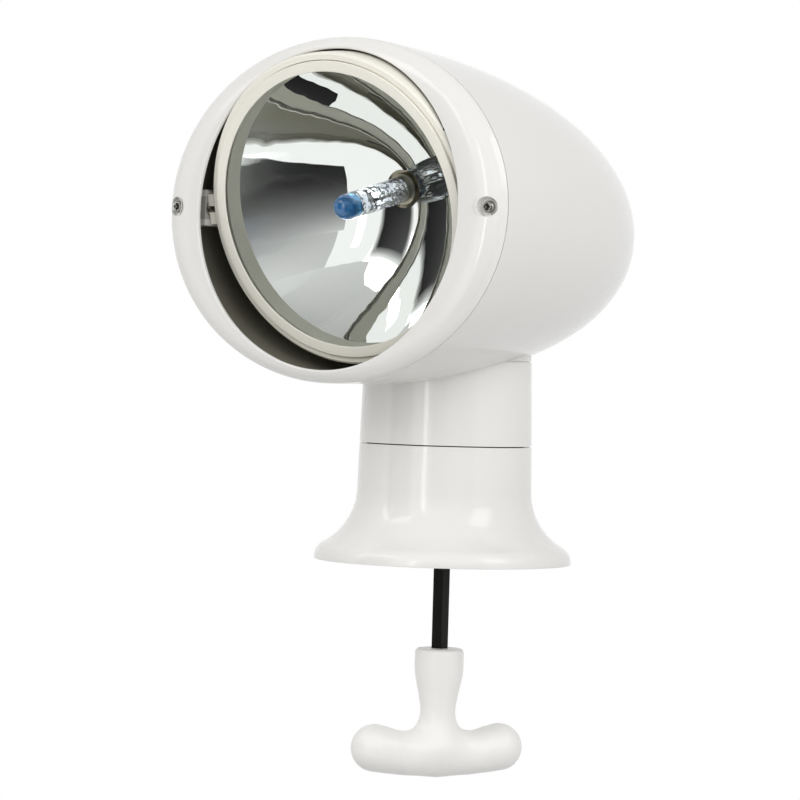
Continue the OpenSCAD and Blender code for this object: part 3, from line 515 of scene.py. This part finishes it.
# %% Counterbores in the bezel
SEAT_Y, DRILL_LEN = 96.4, 8.0
SKIN_DRILL, POST_DRILL, SHANK_DRILL, SHANK_START = 4.4, 4.5, 1.7, 6.0


def apply_modifiers(piece):
    made = bpy.data.meshes.new_from_object(piece.evaluated_get(bpy.context.evaluated_depsgraph_get()))
    piece.modifiers.clear()
    piece.data = made
    return made


def drill(piece, radius, start, side):
    """Cuts a round hole along the head, from a start towards the front."""
    middle = Vector((side * SCREW_X, -(start + DRILL_LEN / 2), SCREW_Z)) * MM
    work = bmesh.new()
    bmesh.ops.create_cone(work, cap_ends=True, segments=64, radius1=radius * MM, radius2=radius * MM,
                          depth=DRILL_LEN * MM)
    bmesh.ops.rotate(work, verts=work.verts, matrix=Matrix.Rotation(pi / 2, 3, "X"))
    bmesh.ops.translate(work, verts=work.verts, vec=middle)
    bmesh.ops.transform(work, verts=work.verts, matrix=IN_HEAD)
    cutter_mesh = bpy.data.meshes.new("drill")
    work.to_mesh(cutter_mesh)
    work.free()
    cutter = show("drill", cutter_mesh)
    cut = piece.modifiers.new("cut", "BOOLEAN")
    cut.operation, cut.solver, cut.object = "DIFFERENCE", "EXACT", cutter
    apply_modifiers(piece)
    bpy.data.objects.remove(cutter)


def merge(piece, other):
    both = bmesh.new()
    both.from_mesh(piece.data)
    both.from_mesh(other.data)
    both.to_mesh(piece.data)
    both.free()
    bpy.data.objects.remove(other)


for side, post in posts.items():
    for piece, radius in ((bezel, SKIN_DRILL), (post, POST_DRILL)):
        drill(piece, radius, SEAT_Y, side)
        drill(piece, SHANK_DRILL, SEAT_Y - SHANK_START, side)
    merge(bezel, post)
bezel.data.set_sharp_from_angle(angle=radians(CRISP))
print("bezel faces with the screw holes:", len(bezel.data.polygons))

# %% [markdown]
# The inside of the moulding takes a dull dark grey, painted shade for the shade that falls inside the
# head. A face belongs to the inside if it looks against the ellipse's outward direction. The opening's
# edge and the counterbores stay white.

# %% Inside of the bezel
EDGE_BAND, BY_SCREW = 1.0, 4.9  # white round the opening and round each screw
bezel.data.materials.append(painted_shade_inside)
from_head = IN_HEAD.inverted()
for face in bezel.data.polygons:
    spot = from_head @ face.center / MM
    x, y, z = spot.x, spot.y + JOINT_Y, spot.z - AXIS_Z
    outwards = Vector((x / HALF_W ** 2, y / NOSE ** 2, z / HALF_H ** 2))
    by_opening = hypot(x, z) <= OPEN_R + EDGE_BAND
    by_screw = hypot(abs(x) - SCREW_X, spot.z - SCREW_Z) < BY_SCREW
    # inside faces get the painted shade; the opening's edge and the counterbores stay white
    face.material_index = int(face.normal.dot(outwards) < 0 and not by_opening and not by_screw)
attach(bezel, "head")
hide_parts("front_bezel")
print("bezel faces inside:", sum(f.material_index for f in bezel.data.polygons))

# %% [markdown]
# ## The handle
# The T-handle is one soft moulding: a round boss, a waist, and two arms that droop in the middle
# and swell at their ends, all melting into each other. Such a form is easiest to say as a distance:
# how far is a point from the boss, how far from the arms, and a smooth minimum that fills the
# corner between them.

# %% The handle's form as a distance
HANDLE_TURN = radians(55)  # how the handle sits on the rod
TOP_Z, STEM_END, BOTTOM_Z = -41.0, -88.0, -102.0  # heights, all below the deck
STEM_R, WAIST_R, STEM_EDGE = 11.5, 8.8, 2.2
WAIST_START, WAIST_RUN = 9.0, 18.0  # below the top
ARM_R, ARM_SWEEP, ARM_REACH = 11.0, 150.0, 31.0
ARM_THIN, ARM_SWELL = 0.5, 0.15  # thinner halfway, thicker at the ends
BLEND, FILL = 15.0, 0.55  # width and fullness of the melting corner
ARM_END = asin(ARM_REACH / ARM_SWEEP)
ARM_MID_Z = BOTTOM_Z + ARM_R  # the arms' middle line at its lowest


def stem_distance(x, y, z):
    t = np.clip((TOP_Z - WAIST_START - z) / WAIST_RUN, 0, 1)
    radius = STEM_R - (STEM_R - WAIST_R) * (t * t * (3 - 2 * t))
    sideways = np.hypot(x, y) - radius
    upwards = np.abs(z - (TOP_Z + STEM_END) / 2) - (TOP_Z - STEM_END) / 2
    outside = np.hypot(np.maximum(sideways + STEM_EDGE, 0), np.maximum(upwards + STEM_EDGE, 0))
    return outside + np.minimum(np.maximum(sideways, upwards) + STEM_EDGE, 0) - STEM_EDGE


def arms_distance(x, y, z):
    centre_z = ARM_MID_Z + ARM_SWEEP
    angle = np.clip(np.arctan2(x, centre_z - z), -ARM_END, ARM_END)
    near_x, near_z = ARM_SWEEP * np.sin(angle), centre_z - ARM_SWEEP * np.cos(angle)
    along = np.abs(angle) / ARM_END
    thick = ARM_R - ARM_THIN * np.sin(np.pi * along) + ARM_SWELL * along ** 2
    return np.sqrt((x - near_x) ** 2 + y ** 2 + (z - near_z) ** 2) - thick


def handle_distance(p):
    c, s = cos(HANDLE_TURN), sin(HANDLE_TURN)
    place = p[:, 0] * c + p[:, 1] * s, p[:, 1] * c - p[:, 0] * s, p[:, 2]
    stem, arms = stem_distance(*place), arms_distance(*place)
    h = np.clip(0.5 + 0.5 * (arms - stem) / BLEND, 0, 1)
    return arms * (1 - h) + stem * h - BLEND * FILL * h * (1 - h)


on_axis = np.array([[0, 0, TOP_Z], [0, 0, BOTTOM_Z]])
print("distance at top and bottom:", handle_distance(on_axis).round(1), "mm")

# %% [markdown]
# A fine remesh of rough solids, a cone and a row of balls, gives even faces. They only have to lie near
# the form, because the next step moves every vertex.

# %% Rough start for the handle
ROUGH_FOOT, ROUGH_LEN, ROUGH_MID = 9.0, 56.0, -69.0
BALLS, VOXEL = 8, 0.9  # balls to each side, size of the remesh's cells
rough = bmesh.new()
bmesh.ops.create_cone(rough, cap_ends=True, segments=48, radius1=ROUGH_FOOT * MM, radius2=STEM_R * MM,
                      depth=ROUGH_LEN * MM, matrix=Matrix.Translation((0, 0, ROUGH_MID * MM)))
for k in range(-BALLS, BALLS + 1):
    a = ARM_END * k / BALLS
    out, rise = ARM_SWEEP * sin(a), ARM_SWEEP * (1 - cos(a))
    spot = Vector((out * cos(HANDLE_TURN), out * sin(HANDLE_TURN), ARM_MID_Z + rise)) * MM
    bmesh.ops.create_icosphere(rough, subdivisions=3, radius=ARM_R * MM, matrix=Matrix.Translation(spot))
handle_mesh = bpy.data.meshes.new("handle_form")
rough.to_mesh(handle_mesh)
rough.free()
handle = show("handle_form", handle_mesh)
remesh = handle.modifiers.new("even_faces", "REMESH")
remesh.mode, remesh.voxel_size = "VOXEL", VOXEL * MM
even = apply_modifiers(handle)
print("even faces:", len(even.polygons))

# %% [markdown]
# Each vertex now slides along the distance's slope until it lies on the form. Between the slides it is
# drawn towards its neighbours, which keeps the faces even. The last slides come alone.

# %% Sliding onto the form
ROUNDS, EVENING_ROUNDS = 14, 9
PROBE, FLATTEST = 0.05, 0.2  # step for measuring the slope, and the least slope squared that is used


def evened(spots):
    """Moves each vertex halfway to the middle of its neighbours."""
    total, count = np.zeros_like(spots), np.zeros(len(spots))
    for a, b in ((0, 1), (1, 0)):
        np.add.at(total, ends[:, a], spots[ends[:, b]])
        np.add.at(count, ends[:, a], 1)
    return spots * 0.5 + 0.5 * total / count[:, None]


def slid(spots):
    """Moves each vertex along the slope by the distance measured there."""
    here = handle_distance(spots)
    slope = np.stack([(handle_distance(spots + PROBE * e) - here) / PROBE for e in np.eye(3)], 1)
    return spots - slope * (here / np.maximum((slope ** 2).sum(1), FLATTEST))[:, None]


spots = np.zeros(len(even.vertices) * 3)
even.vertices.foreach_get("co", spots)
spots = spots.reshape(-1, 3) / MM
ends = np.array([e.vertices[:] for e in even.edges])
for round_no in range(ROUNDS):
    if round_no < EVENING_ROUNDS:
        spots = evened(spots)
    spots = slid(slid(spots))
even.vertices.foreach_set("co", (spots * MM).astype(np.float32).ravel())
even.update()
even.shade_smooth()
even.materials.clear()
even.materials.append(satin_white)
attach(handle, "control")
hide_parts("handle")
print("handle from", spots.min(0).round(1), "to", spots.max(0).round(1), "mm")

# %% [markdown]
# ## Node trees
# Geometry Nodes make a shape from rules and named inputs. The trees below share a few steps: sums,
# vectors, welding, lifting and joining. Each is one node with its links.

# %% Helpers for single nodes
def calc(tree, operation, *values):
    """One sum; the values are numbers or other nodes' outputs."""
    return add(tree, "ShaderNodeMath", dict(enumerate(values)), operation=operation).outputs[0]


def three(tree, **parts):
    """A vector from up to three outputs."""
    return add(tree, "ShaderNodeCombineXYZ", parts).outputs[0]


def welded(tree, geometry, distance):
    return add(tree, "GeometryNodeMergeByDistance", {"Geometry": geometry, "Distance": distance}).outputs[0]


def lifted(tree, geometry, height):
    sockets = {"Geometry": geometry, "Translation": three(tree, Z=height)}
    return add(tree, "GeometryNodeTransform", sockets).outputs[0]


def joined(tree, *parts):
    node = add(tree, "GeometryNodeJoinGeometry")
    for part in parts:
        tree.links.new(part, node.inputs[0])
    return node.outputs[0]

# %% [markdown]
# Both trees start with a grid whose x goes once round an axis, and with fields that say where each point
# belongs. Both end alike, with real geometry instead of instances, and with a material. A tree is run
# by a modifier: its inputs are set first, and its result then becomes the piece's own mesh.

# %% Helpers for whole trees
WELD = 1e-6  # metres


def new_tree(name, inputs):
    """A tree with named number inputs; returns it with its first and last node."""
    tree = bpy.data.node_groups.new(name, "GeometryNodeTree")
    tree.interface.new_socket("Geometry", in_out="INPUT", socket_type="NodeSocketGeometry")
    for label, value in inputs.items():
        socket = tree.interface.new_socket(label, in_out="INPUT", socket_type="NodeSocketFloat")
        socket.default_value = value
    tree.interface.new_socket("Geometry", in_out="OUTPUT", socket_type="NodeSocketGeometry")
    return tree, add(tree, "NodeGroupInput"), add(tree, "NodeGroupOutput")


def round_grid(tree, around, along):
    """A flat grid; returns its mesh, one full turn over its x, and its y from -0.5 to 0.5."""
    grid = add(tree, "GeometryNodeMeshGrid", dict(enumerate((1, 1, around, along))))
    split = add(tree, "ShaderNodeSeparateXYZ", {0: add(tree, "GeometryNodeInputPosition").outputs[0]})
    return grid.outputs["Mesh"], calc(tree, "MULTIPLY", split.outputs["X"], 2 * pi), split.outputs["Y"]


def bent(tree, mesh, place):
    moved = add(tree, "GeometryNodeSetPosition", {"Geometry": mesh, "Position": place})
    return welded(tree, moved.outputs[0], WELD)


def end_tree(tree, geometry, material, last):
    real = add(tree, "GeometryNodeRealizeInstances", {0: geometry})
    coat = add(tree, "GeometryNodeSetMaterial", {"Geometry": real.outputs[0], "Material": material})
    tree.links.new(coat.outputs[0], last.inputs["Geometry"])


def grow(piece, tree, values):
    maker = piece.modifiers.new(tree.name, "NODES")
    maker.node_group = tree
    sockets = {item.name: item.identifier for item in tree.interface.items_tree if item.in_out == "INPUT"}
    for label, value in values.items():
        maker[sockets[label]] = value
    return apply_modifiers(piece)

# %% [markdown]
# ## The egg
# The head behind the bezel follows a rule, so a node tree makes it. A flat grid has one direction
# round the beam and one along it. Along it, the grid runs from the inside of the tail to the joint,
# turns over the edge of the wall, and comes back on the outside. Every point is then moved to its
# place by the formula of an ellipsoid. The power on the section's size is 1 on top and a little less
# below, which fills out the underside towards the tail, as on the real moulding.

# %% The egg tree
EGG_AROUND, EGG_ROWS = 193, 96
EGG_INPUTS = {"Half Width": 0.09, "Half Height": 0.08, "Length": 0.2, "Wall": 0.003, "Fullness": 0.1}


def egg_tree(material):
    tree, given, last = new_tree("egg_shell", EGG_INPUTS)

    def run(operation, *values):
        return calc(tree, operation, *values)

    mesh, turn, along = round_grid(tree, EGG_AROUND, EGG_ROWS)
    inside = run("LESS_THAN", along, 0.0)
    sockets = {"Geometry": mesh, "Name": "inside", "Value": inside}
    mark = add(tree, "GeometryNodeStoreNamedAttribute", sockets, data_type="FLOAT", domain="POINT")

    first = 0.5 / (EGG_ROWS - 1)  # the two middle rows lie this far from the grid's middle
    swing = run("MULTIPLY", run("SUBTRACT", run("ABSOLUTE", along), first), pi / 2 / (0.5 - first))
    less = run("MULTIPLY", inside, given.outputs["Wall"])
    below = run("POWER", run("MULTIPLY", run("SUBTRACT", 1.0, run("SINE", turn)), 0.5), 2.0)
    power = run("SUBTRACT", 1.0, run("MULTIPLY", below, given.outputs["Fullness"]))
    section = run("POWER", run("MAXIMUM", run("COSINE", swing), 0.0), power)
    width, height, length = [run("SUBTRACT", given.outputs[label], less) for label in list(EGG_INPUTS)[:3]]
    x = run("MULTIPLY", run("MULTIPLY", width, section), run("COSINE", turn))
    y = run("MULTIPLY", length, run("SINE", swing))
    z = run("MULTIPLY", run("MULTIPLY", height, section), run("SINE", turn))
    end_tree(tree, bent(tree, mark.outputs[0], three(tree, X=x, Y=y, Z=z)), material, last)
    return tree


egg_by_nodes = egg_tree(gloss_white)
print("egg tree nodes:", len(egg_by_nodes.nodes))

# %% [markdown]
# The tree's sizes are those of the bezel, so the two mouldings meet at the joint. The number that the
# tree stored on every point tells which faces are inside, and those take the dark grey of painted shade.

# %% Growing the egg
EGG_LEN, EGG_FULLNESS = 203.0, 0.17
egg = show("egg_shell", bpy.data.meshes.new("egg_shell"))
egg_sizes = (HALF_W * MM, HALF_H * MM, EGG_LEN * MM, WALL_T * MM, EGG_FULLNESS)
egg_mesh = grow(egg, egg_by_nodes, dict(zip(EGG_INPUTS, egg_sizes)))
egg_mesh.transform(IN_HEAD @ Matrix.Translation(Vector((0, -JOINT_Y, AXIS_Z)) * MM))
egg_mesh.materials.clear()
for material in (gloss_white, painted_shade_inside):
    egg_mesh.materials.append(material)
within = np.zeros(len(egg_mesh.vertices), np.float32)
egg_mesh.attributes["inside"].data.foreach_get("value", within)
# faces inside the egg take the painted shade
for face in egg_mesh.polygons:
    face.material_index = int(min(within[i] for i in face.vertices) > 0.5)
print("egg faces:", len(egg_mesh.polygons), "inside:", sum(f.material_index for f in egg_mesh.polygons))

# %% [markdown]
# Below the egg a short round boss stands on the neck and runs up into the underside. It is turned like
# the lamp's rings, upright on the pan axis, and joined to the egg's mesh. A shallow groove round its
# foot leaves the fine dark line that the picture shows between head and neck.

# %% The boss below the egg
BOSS_R, BOSS_Z, BOSS_RUN, BOSS_EDGE = 39.2, 94.9, 19.0, 0.2
GROOVE_H, GROOVE_W = 0.38, 0.8
UPRIGHT = Matrix.Identity(4)
boss_foot = [(0, BOSS_Z - GROOVE_H), (BOSS_R - GROOVE_W, BOSS_Z - GROOVE_H), (BOSS_R - GROOVE_W, BOSS_Z)]
boss_wall = [(BOSS_R, BOSS_Z), (BOSS_R, BOSS_Z + BOSS_RUN), (0, BOSS_Z + BOSS_RUN)]
boss_profile = softened(boss_foot + boss_wall, [0, 0, 0, BOSS_EDGE, 0, 0], 3)
boss = turned("egg_boss", boss_profile, gloss_white, 192, UPRIGHT)
merge(egg, boss)
egg_mesh.shade_smooth()
egg_mesh.set_sharp_from_angle(angle=radians(CRISP))
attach(egg, "head")
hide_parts("head_shell")
print("egg and boss faces:", len(egg_mesh.polygons))

# %% [markdown]
# ## The pedestal
# The base is turned as well. Below its straight part a hollow sweep runs out into the flange, and a
# round lip rolls over to the deck. Two arcs meet without a crease where the line between their middles
# crosses them, so the lip's middle follows from the sweep's. Inside are the seats for gasket and plate,
# and the web with the bearing's hub.

# %% Turning the pedestal
BASE_R, LIP_R = 60.5, 8.0  # flange and its round lip
FOOT_R, SWEEP_Z, SWEEP_R = 41.0, 34.0, 30.0  # where the sweep starts, and its radius
TOP_R, BASE_TOP = 40.5, 54.75
EDGE, EDGE_MID = 0.4, 0.1  # small bevels at top and deck
GASKET_OUT, GASKET_IN, GASKET_DEEP = 57.5, 54.5, 1.5
PLATE_R, PLATE_T, PLATE_LEDGE = 52.2, 4.0, 44.0
WALL_IN, WALL_FOOT, NECK_SEAT = 37.3, 27.5, 37.1
WEB_LOW, WEB_TOP = 47.0, 51.0
HUB_OUT, HUB_IN, HUB_LOW = 20.0, 16.05, 22.0


def arc(middle, radius, start, end, steps):
    angles = np.linspace(start, end, steps + 1)
    return [(middle.x + radius * cos(a), middle.y + radius * sin(a)) for a in angles]


sweep_mid = Vector((FOOT_R + SWEEP_R, SWEEP_Z))
lip_x = BASE_R - LIP_R
lip_mid = Vector((lip_x, SWEEP_Z - sqrt((SWEEP_R + LIP_R) ** 2 - (sweep_mid.x - lip_x) ** 2)))
meet = atan2(sweep_mid.y - lip_mid.y, sweep_mid.x - lip_mid.x)
skin = [(TOP_R - EDGE, BASE_TOP), (TOP_R - EDGE_MID, BASE_TOP - EDGE_MID), (TOP_R, BASE_TOP - EDGE)]
skin += arc(sweep_mid, SWEEP_R, pi, pi + meet, 40) + arc(lip_mid, LIP_R, meet, 0, 24)[1:]
skin += [(BASE_R, EDGE), (BASE_R - EDGE_MID, EDGE_MID), (BASE_R - EDGE, 0)]
seats = [(GASKET_OUT, 0), (GASKET_OUT, GASKET_DEEP), (GASKET_IN, GASKET_DEEP), (GASKET_IN, 0)]
seats += [(PLATE_R, 0), (PLATE_R, PLATE_T), (PLATE_LEDGE, PLATE_T)]
hub = [(WALL_IN, WALL_FOOT), (WALL_IN, WEB_LOW), (HUB_OUT, WEB_LOW), (HUB_OUT, HUB_LOW), (HUB_IN, HUB_LOW)]
hub += [(HUB_IN, WEB_TOP), (NECK_SEAT, WEB_TOP), (NECK_SEAT, BASE_TOP)]
pedestal = turned("pedestal_form", skin + seats + hub, gloss_white, 256, UPRIGHT)
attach(pedestal, "base")
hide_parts("base_pedestal")
lip_start = lip_mid.x + LIP_R * cos(meet)
print("pedestal faces:", len(pedestal.data.polygons), "lip starts at r", round(lip_start, 1))

# %% [markdown]
# ## Screws
# The lamp shows pan-head screws of two sizes, so one node tree makes them all. A grid is bent into a
# domed head by a rule, and its open seat is closed by a disc. Two crossed bars are cut out of the head
# for the recess, and a plain cylinder is the shank.

# %% Head, recess and shank
HEAD_AROUND, HEAD_ROWS, SHANK_SIDES = 48, 12, 24
SIDE_POWER, RISE_POWER = 0.45, 0.8  # a ball's curve, squared up into a pan head
BAR_LONG, BAR_THIN = 1.24, 0.3  # shares of the head's radius
BAR_TALL, BAR_MIDDLE = 1.4, 1.15  # shares of the head's height
SEAT_WELD = 1e-5  # metres


def pan_head(tree, head_r, head_h):
    mesh, angle, along = round_grid(tree, HEAD_AROUND + 1, HEAD_ROWS + 1)
    swing = calc(tree, "MULTIPLY", calc(tree, "ADD", along, 0.5), pi / 2)
    side_share = calc(tree, "POWER", calc(tree, "COSINE", swing), SIDE_POWER)
    rise_share = calc(tree, "POWER", calc(tree, "SINE", swing), RISE_POWER)
    radius = calc(tree, "MULTIPLY", head_r, side_share)
    x = calc(tree, "MULTIPLY", radius, calc(tree, "COSINE", angle))
    y = calc(tree, "MULTIPLY", radius, calc(tree, "SINE", angle))
    dome = bent(tree, mesh, three(tree, X=x, Y=y, Z=calc(tree, "MULTIPLY", head_h, rise_share)))
    sockets = {"Vertices": HEAD_AROUND, "Radius": head_r}
    disc = add(tree, "GeometryNodeMeshCircle", sockets, fill_type="NGON")
    facing_down = add(tree, "GeometryNodeFlipFaces", {"Mesh": disc.outputs[0]})
    return welded(tree, joined(tree, facing_down.outputs[0], dome), SEAT_WELD)


def cross_recess(tree, head, head_r, head_h):
    cut = add(tree, "GeometryNodeMeshBoolean", {"Mesh 1": head}, operation="DIFFERENCE")
    long, thin = [calc(tree, "MULTIPLY", head_r, share) for share in (BAR_LONG, BAR_THIN)]
    tall, middle = [calc(tree, "MULTIPLY", head_h, share) for share in (BAR_TALL, BAR_MIDDLE)]
    for wide, deep in ((long, thin), (thin, long)):
        bar = add(tree, "GeometryNodeMeshCube", {"Size": three(tree, X=wide, Y=deep, Z=tall)})
        tree.links.new(lifted(tree, bar.outputs["Mesh"], middle), cut.inputs["Mesh 2"])
    return cut.outputs["Mesh"]


def shank_below(tree, shank_r, shank_l):
    sockets = {"Vertices": SHANK_SIDES, "Radius": shank_r, "Depth": shank_l}
    shank = add(tree, "GeometryNodeMeshCylinder", sockets)
    return lifted(tree, shank.outputs["Mesh"], calc(tree, "MULTIPLY", shank_l, -0.5))

# %% [markdown]
# The whole tree sets one screw on every point of a small mesh. Each point stores a direction, and the
# screw's head is turned to look along it.

# %% The screw tree
SCREW_INPUTS = {"Head Radius": 0.00275, "Head Height": 0.0024, "Shank Radius": 0.0015, "Shank Length": 0.02}


def screw_tree(material):
    tree, given, last = new_tree("cross_recess_screws", SCREW_INPUTS)
    head_r, head_h, shank_r, shank_l = [given.outputs[label] for label in SCREW_INPUTS]
    head = cross_recess(tree, pan_head(tree, head_r, head_h), head_r, head_h)
    screw = joined(tree, head, shank_below(tree, shank_r, shank_l))
    aim = add(tree, "GeometryNodeInputNamedAttribute", {"Name": "aim"}, data_type="FLOAT_VECTOR")
    way = {"Vector": aim.outputs["Attribute"]}
    align = add(tree, "FunctionNodeAlignRotationToVector", way, axis="Z")
    sockets = {"Points": given.outputs["Geometry"], "Instance": screw, "Rotation": align.outputs[0]}
    each = add(tree, "GeometryNodeInstanceOnPoints", sockets)
    end_tree(tree, each.outputs[0], material, last)
    return tree


screws_by_nodes = screw_tree(steel)
print("screw tree nodes:", len(screws_by_nodes.nodes))

# %% [markdown]
# Two sets of screws are seen from outside: those in the bezel's cheeks, which look along the head, and
# those of the base plate, which look down. A set's sizes are head radius, head height, shank radius and
# shank length.

# %% Setting the screws
BEZEL_SCREW, PLATE_SCREW = (2.75, 2.4, 1.45, 24), (2.75, 2.2, 1.25, 6.5)
PLATE_CIRCLE, PLATE_SEAT = 48.0, 2.4
SCREW_CRISP = 30  # degrees


def screw_set(name, node, body, seats, sizes):
    """seats are (point, direction) pairs in mm; sizes follow the tree's inputs, in mm."""
    mesh = bpy.data.meshes.new(name)
    mesh.from_pydata([tuple(Vector(point) * MM) for point, _ in seats], [], [])
    ways = np.array([list(Vector(way).normalized()) for _, way in seats], np.float32)
    mesh.attributes.new("aim", "FLOAT_VECTOR", "POINT").data.foreach_set("vector", ways.ravel())
    piece = show(name, mesh)
    made = grow(piece, screws_by_nodes, {label: size * MM for label, size in zip(SCREW_INPUTS, sizes)})
    made.shade_smooth()
    made.set_sharp_from_angle(angle=radians(SCREW_CRISP))
    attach(piece, body)
    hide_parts(node)
    print(name, "faces:", len(made.polygons))


ahead, down = IN_HEAD.to_3x3() @ Vector((0, -1, 0)), (0, 0, -1)
cheeks = [IN_HEAD @ (Vector((side * SCREW_X, -SEAT_Y, SCREW_Z)) * MM) / MM for side in (-1, 1)]
screw_set("bezel_cheek_screws", "bezel_screws", "head", [(spot, ahead) for spot in cheeks], BEZEL_SCREW)
quarters = np.arange(4) * pi / 2
corners = [(PLATE_CIRCLE * cos(a), PLATE_CIRCLE * sin(a), PLATE_SEAT) for a in quarters]
screw_set("plate_corner_screws", "plate_screws", "base", [(spot, down) for spot in corners], PLATE_SCREW)

# %% [markdown]
# ## Finishes for the solids that stay
# The remaining solids already have the right shape and smooth normals. Each takes the finish of
# its slot in the record.

# %% Coat the solids
finish_of = {"gelcoat_white": gloss_white, "bracket_white": bracket_white, "handle_white": satin_white,
             "ring_cream": ring_cream, "grey_plastic": grey_acetal, "black_rubber": rubber,
             "stainless": steel, "brass": brass, "filament": steel, "lever_metal": drawn_metal,
             "black_rod": black_rod, "lens_glass": lens_glass, "mirror_coat": mirror_coat,
             "bulb_glass": bulb_clear}
for row in frame["record"]["subparts"]:
    solid = frame["nodes"][row["node"]]
    solid.data.materials.clear()
    solid.data.materials.append(finish_of[row["material_slot"]])

# %% [markdown]
# ## Floor and surround
# The portrait is high key: a white lamp on white. Camera, mirror and glass see a floor and a surround
# of full white. The soft light on the mouldings gets less of both, a pale grey floor and a surround of
# half strength, so the whites don't wash out. The floor lies below the handle's lowest travel.

# %% Floor
FLOOR_Z, FLOOR_HALF = -150 * MM, 9


def seen_and_felt(tree, felt, seen, surface):
    """Shows one shader to the soft light, and another to camera, mirror and glass."""
    rays = add(tree, "ShaderNodeLightPath").outputs
    bounced = calc(tree, "MAXIMUM", rays["Is Glossy Ray"], rays["Is Transmission Ray"])
    share = calc(tree, "MAXIMUM", rays["Is Camera Ray"], bounced)
    blend = add(tree, "ShaderNodeMixShader", {"Fac": share, 1: felt.outputs[0], 2: seen.outputs[0]})
    tree.links.new(blend.outputs[0], surface)


floor_mesh = bpy.data.meshes.new("floor")
floor_corners = [(x * FLOOR_HALF, y * FLOOR_HALF, FLOOR_Z) for x, y in ((-1, -1), (1, -1), (1, 1), (-1, 1))]
floor_mesh.from_pydata(floor_corners, [], [(0, 1, 2, 3)])
floor = show("floor", floor_mesh)
pale = finish_named("pale_floor", (0.62, 0.62, 0.62), 0.9)
nodes = pale.node_tree.nodes
white = add(pale.node_tree, "ShaderNodeEmission")
seen_and_felt(pale.node_tree, nodes["Principled BSDF"], white, nodes["Material Output"].inputs["Surface"])
floor_mesh.materials.append(pale)
print("floor at", round(FLOOR_Z / MM), "mm")

# %% White surround
FELT, SEEN = 0.5, 1.0  # strengths
world = bpy.data.worlds.new("white_surround")
bpy.context.scene.world = world
world.use_nodes = True
nodes = world.node_tree.nodes
bright = add(world.node_tree, "ShaderNodeBackground")
for background, strength in ((nodes["Background"], FELT), (bright, SEEN)):
    background.inputs["Color"].default_value = (1, 1, 1, 1)
    background.inputs["Strength"].default_value = strength
seen_and_felt(world.node_tree, nodes["Background"], bright, nodes["World Output"].inputs["Surface"])
print("surround:", FELT, "for soft light,", SEEN, "for camera, mirror and glass")

# %% [markdown]
# ## Dark cards for the mirror
# A mirror shows the room, and a room that is white all round leaves it flat. The picture's mirror has
# a dark half towards the camera's side, and a dark patch on the far side. Four curved cards stand
# round the lamp: one for each of these, a paler band above the first, and a grey ceiling. Only
# reflections meet them. The camera, shadows and the soft light on the mouldings pass through.

# %% Cloth and cards
CARD_STEPS = 16
card_cloth = bpy.data.materials.new("card_cloth")
card_cloth.use_nodes = True
cloth_tree = card_cloth.node_tree
tone = add(cloth_tree, "ShaderNodeAttribute", attribute_name="tone")
glow = add(cloth_tree, "ShaderNodeEmission", {"Strength": tone.outputs["Fac"]})
cloth_tree.links.new(glow.outputs[0], cloth_tree.nodes["Material Output"].inputs["Surface"])


def dark_card(name, around, height, tones, away=1.6, fade=1.0, soft=0.0):
    """A patch of a sphere round the lamp: bearings and heights in degrees, tones at its corners.
    A soft card pales to white over that share of its width and height."""
    points, values = [], []
    steps = [i / CARD_STEPS for i in range(CARD_STEPS + 1)]
    for u in steps:
        for v in steps:
            a = radians(around[0] + (around[1] - around[0]) * u)
            e = radians(height[0] + (height[1] - height[0]) * v)
            way = Vector((cos(e) * cos(a), cos(e) * sin(a), sin(e)))
            points.append(tuple(TILT_AXIS + away * way))
            low = tones[0] * (1 - u) + tones[1] * u
            high = tones[2] * (1 - u) + tones[3] * u
            inwards = min(1, min(u, 1 - u, v, 1 - v) / soft) if soft else 1
            values.append(1 + (low + (high - low) * v ** fade - 1) * inwards)
    row = len(steps)
    starts = [i * row + k for i in range(CARD_STEPS) for k in range(CARD_STEPS)]
    mesh = bpy.data.meshes.new(name)
    mesh.from_pydata(points, [], [(s, s + 1, s + row + 1, s + row) for s in starts])
    mesh.attributes.new("tone", "FLOAT", "POINT").data.foreach_set("value", np.array(values, np.float32))
    mesh.materials.append(card_cloth)
    card = show(name, mesh)
    card.visible_camera = card.visible_diffuse = card.visible_shadow = False


dark_card("camera_side_card", (-8, -70), (-47, 12), (0.004, 0.02, 0.3, 0.6), 0.41, 2.5)
dark_card("left_band_card", (-8, -66), (12, 36), (0.3, 0.55, 0.8, 0.6))
dark_card("far_side_card", (-99, -140), (-22, 34), (0.005, 0.005, 0.01, 0.1), 0.8, 1, 0.1)
dark_card("ceiling_card", (-8, -150), (36, 85), (0.75, 0.6, 0.45, 0.5))

# %% [markdown]
# ## Light
# A large soft panel lights the lamp from the upper left, and another from the right in front fills the
# shadows. A smaller one stands at the side like a window, and a narrow strip draws the upright
# highlight on the neck. All of them look at the middle of the lamp. The Standard view keeps the whites
# white.

# %% Soft panels
LAMP_MIDDLE = Vector((0, -0.03, 0.1))  # metres


def panel(name, spot, width, height, power):
    """A rectangle of light; place and size in metres, power in watts."""
    data = bpy.data.lights.new(name, "AREA")
    data.shape, data.size, data.size_y, data.energy = "RECTANGLE", width, height, power
    light = show(name, data)
    light.location = spot
    light.rotation_mode = "QUATERNION"
    light.rotation_quaternion = (LAMP_MIDDLE - Vector(spot)).to_track_quat("-Z", "Y")


panel("key_panel", (-0.7, -1.2, 0.95), 1.2, 0.9, 7.5)
panel("fill_panel", (1.4, -1.0, 0.55), 1.0, 1.2, 10.5)
panel("side_panel", (1.25, -0.05, 0.95), 0.6, 0.8, 3.6)
panel("strip_panel", (0.2, -1.45, 0.3), 0.14, 1.0, 1.6)
bpy.context.scene.view_settings.view_transform = "Standard"
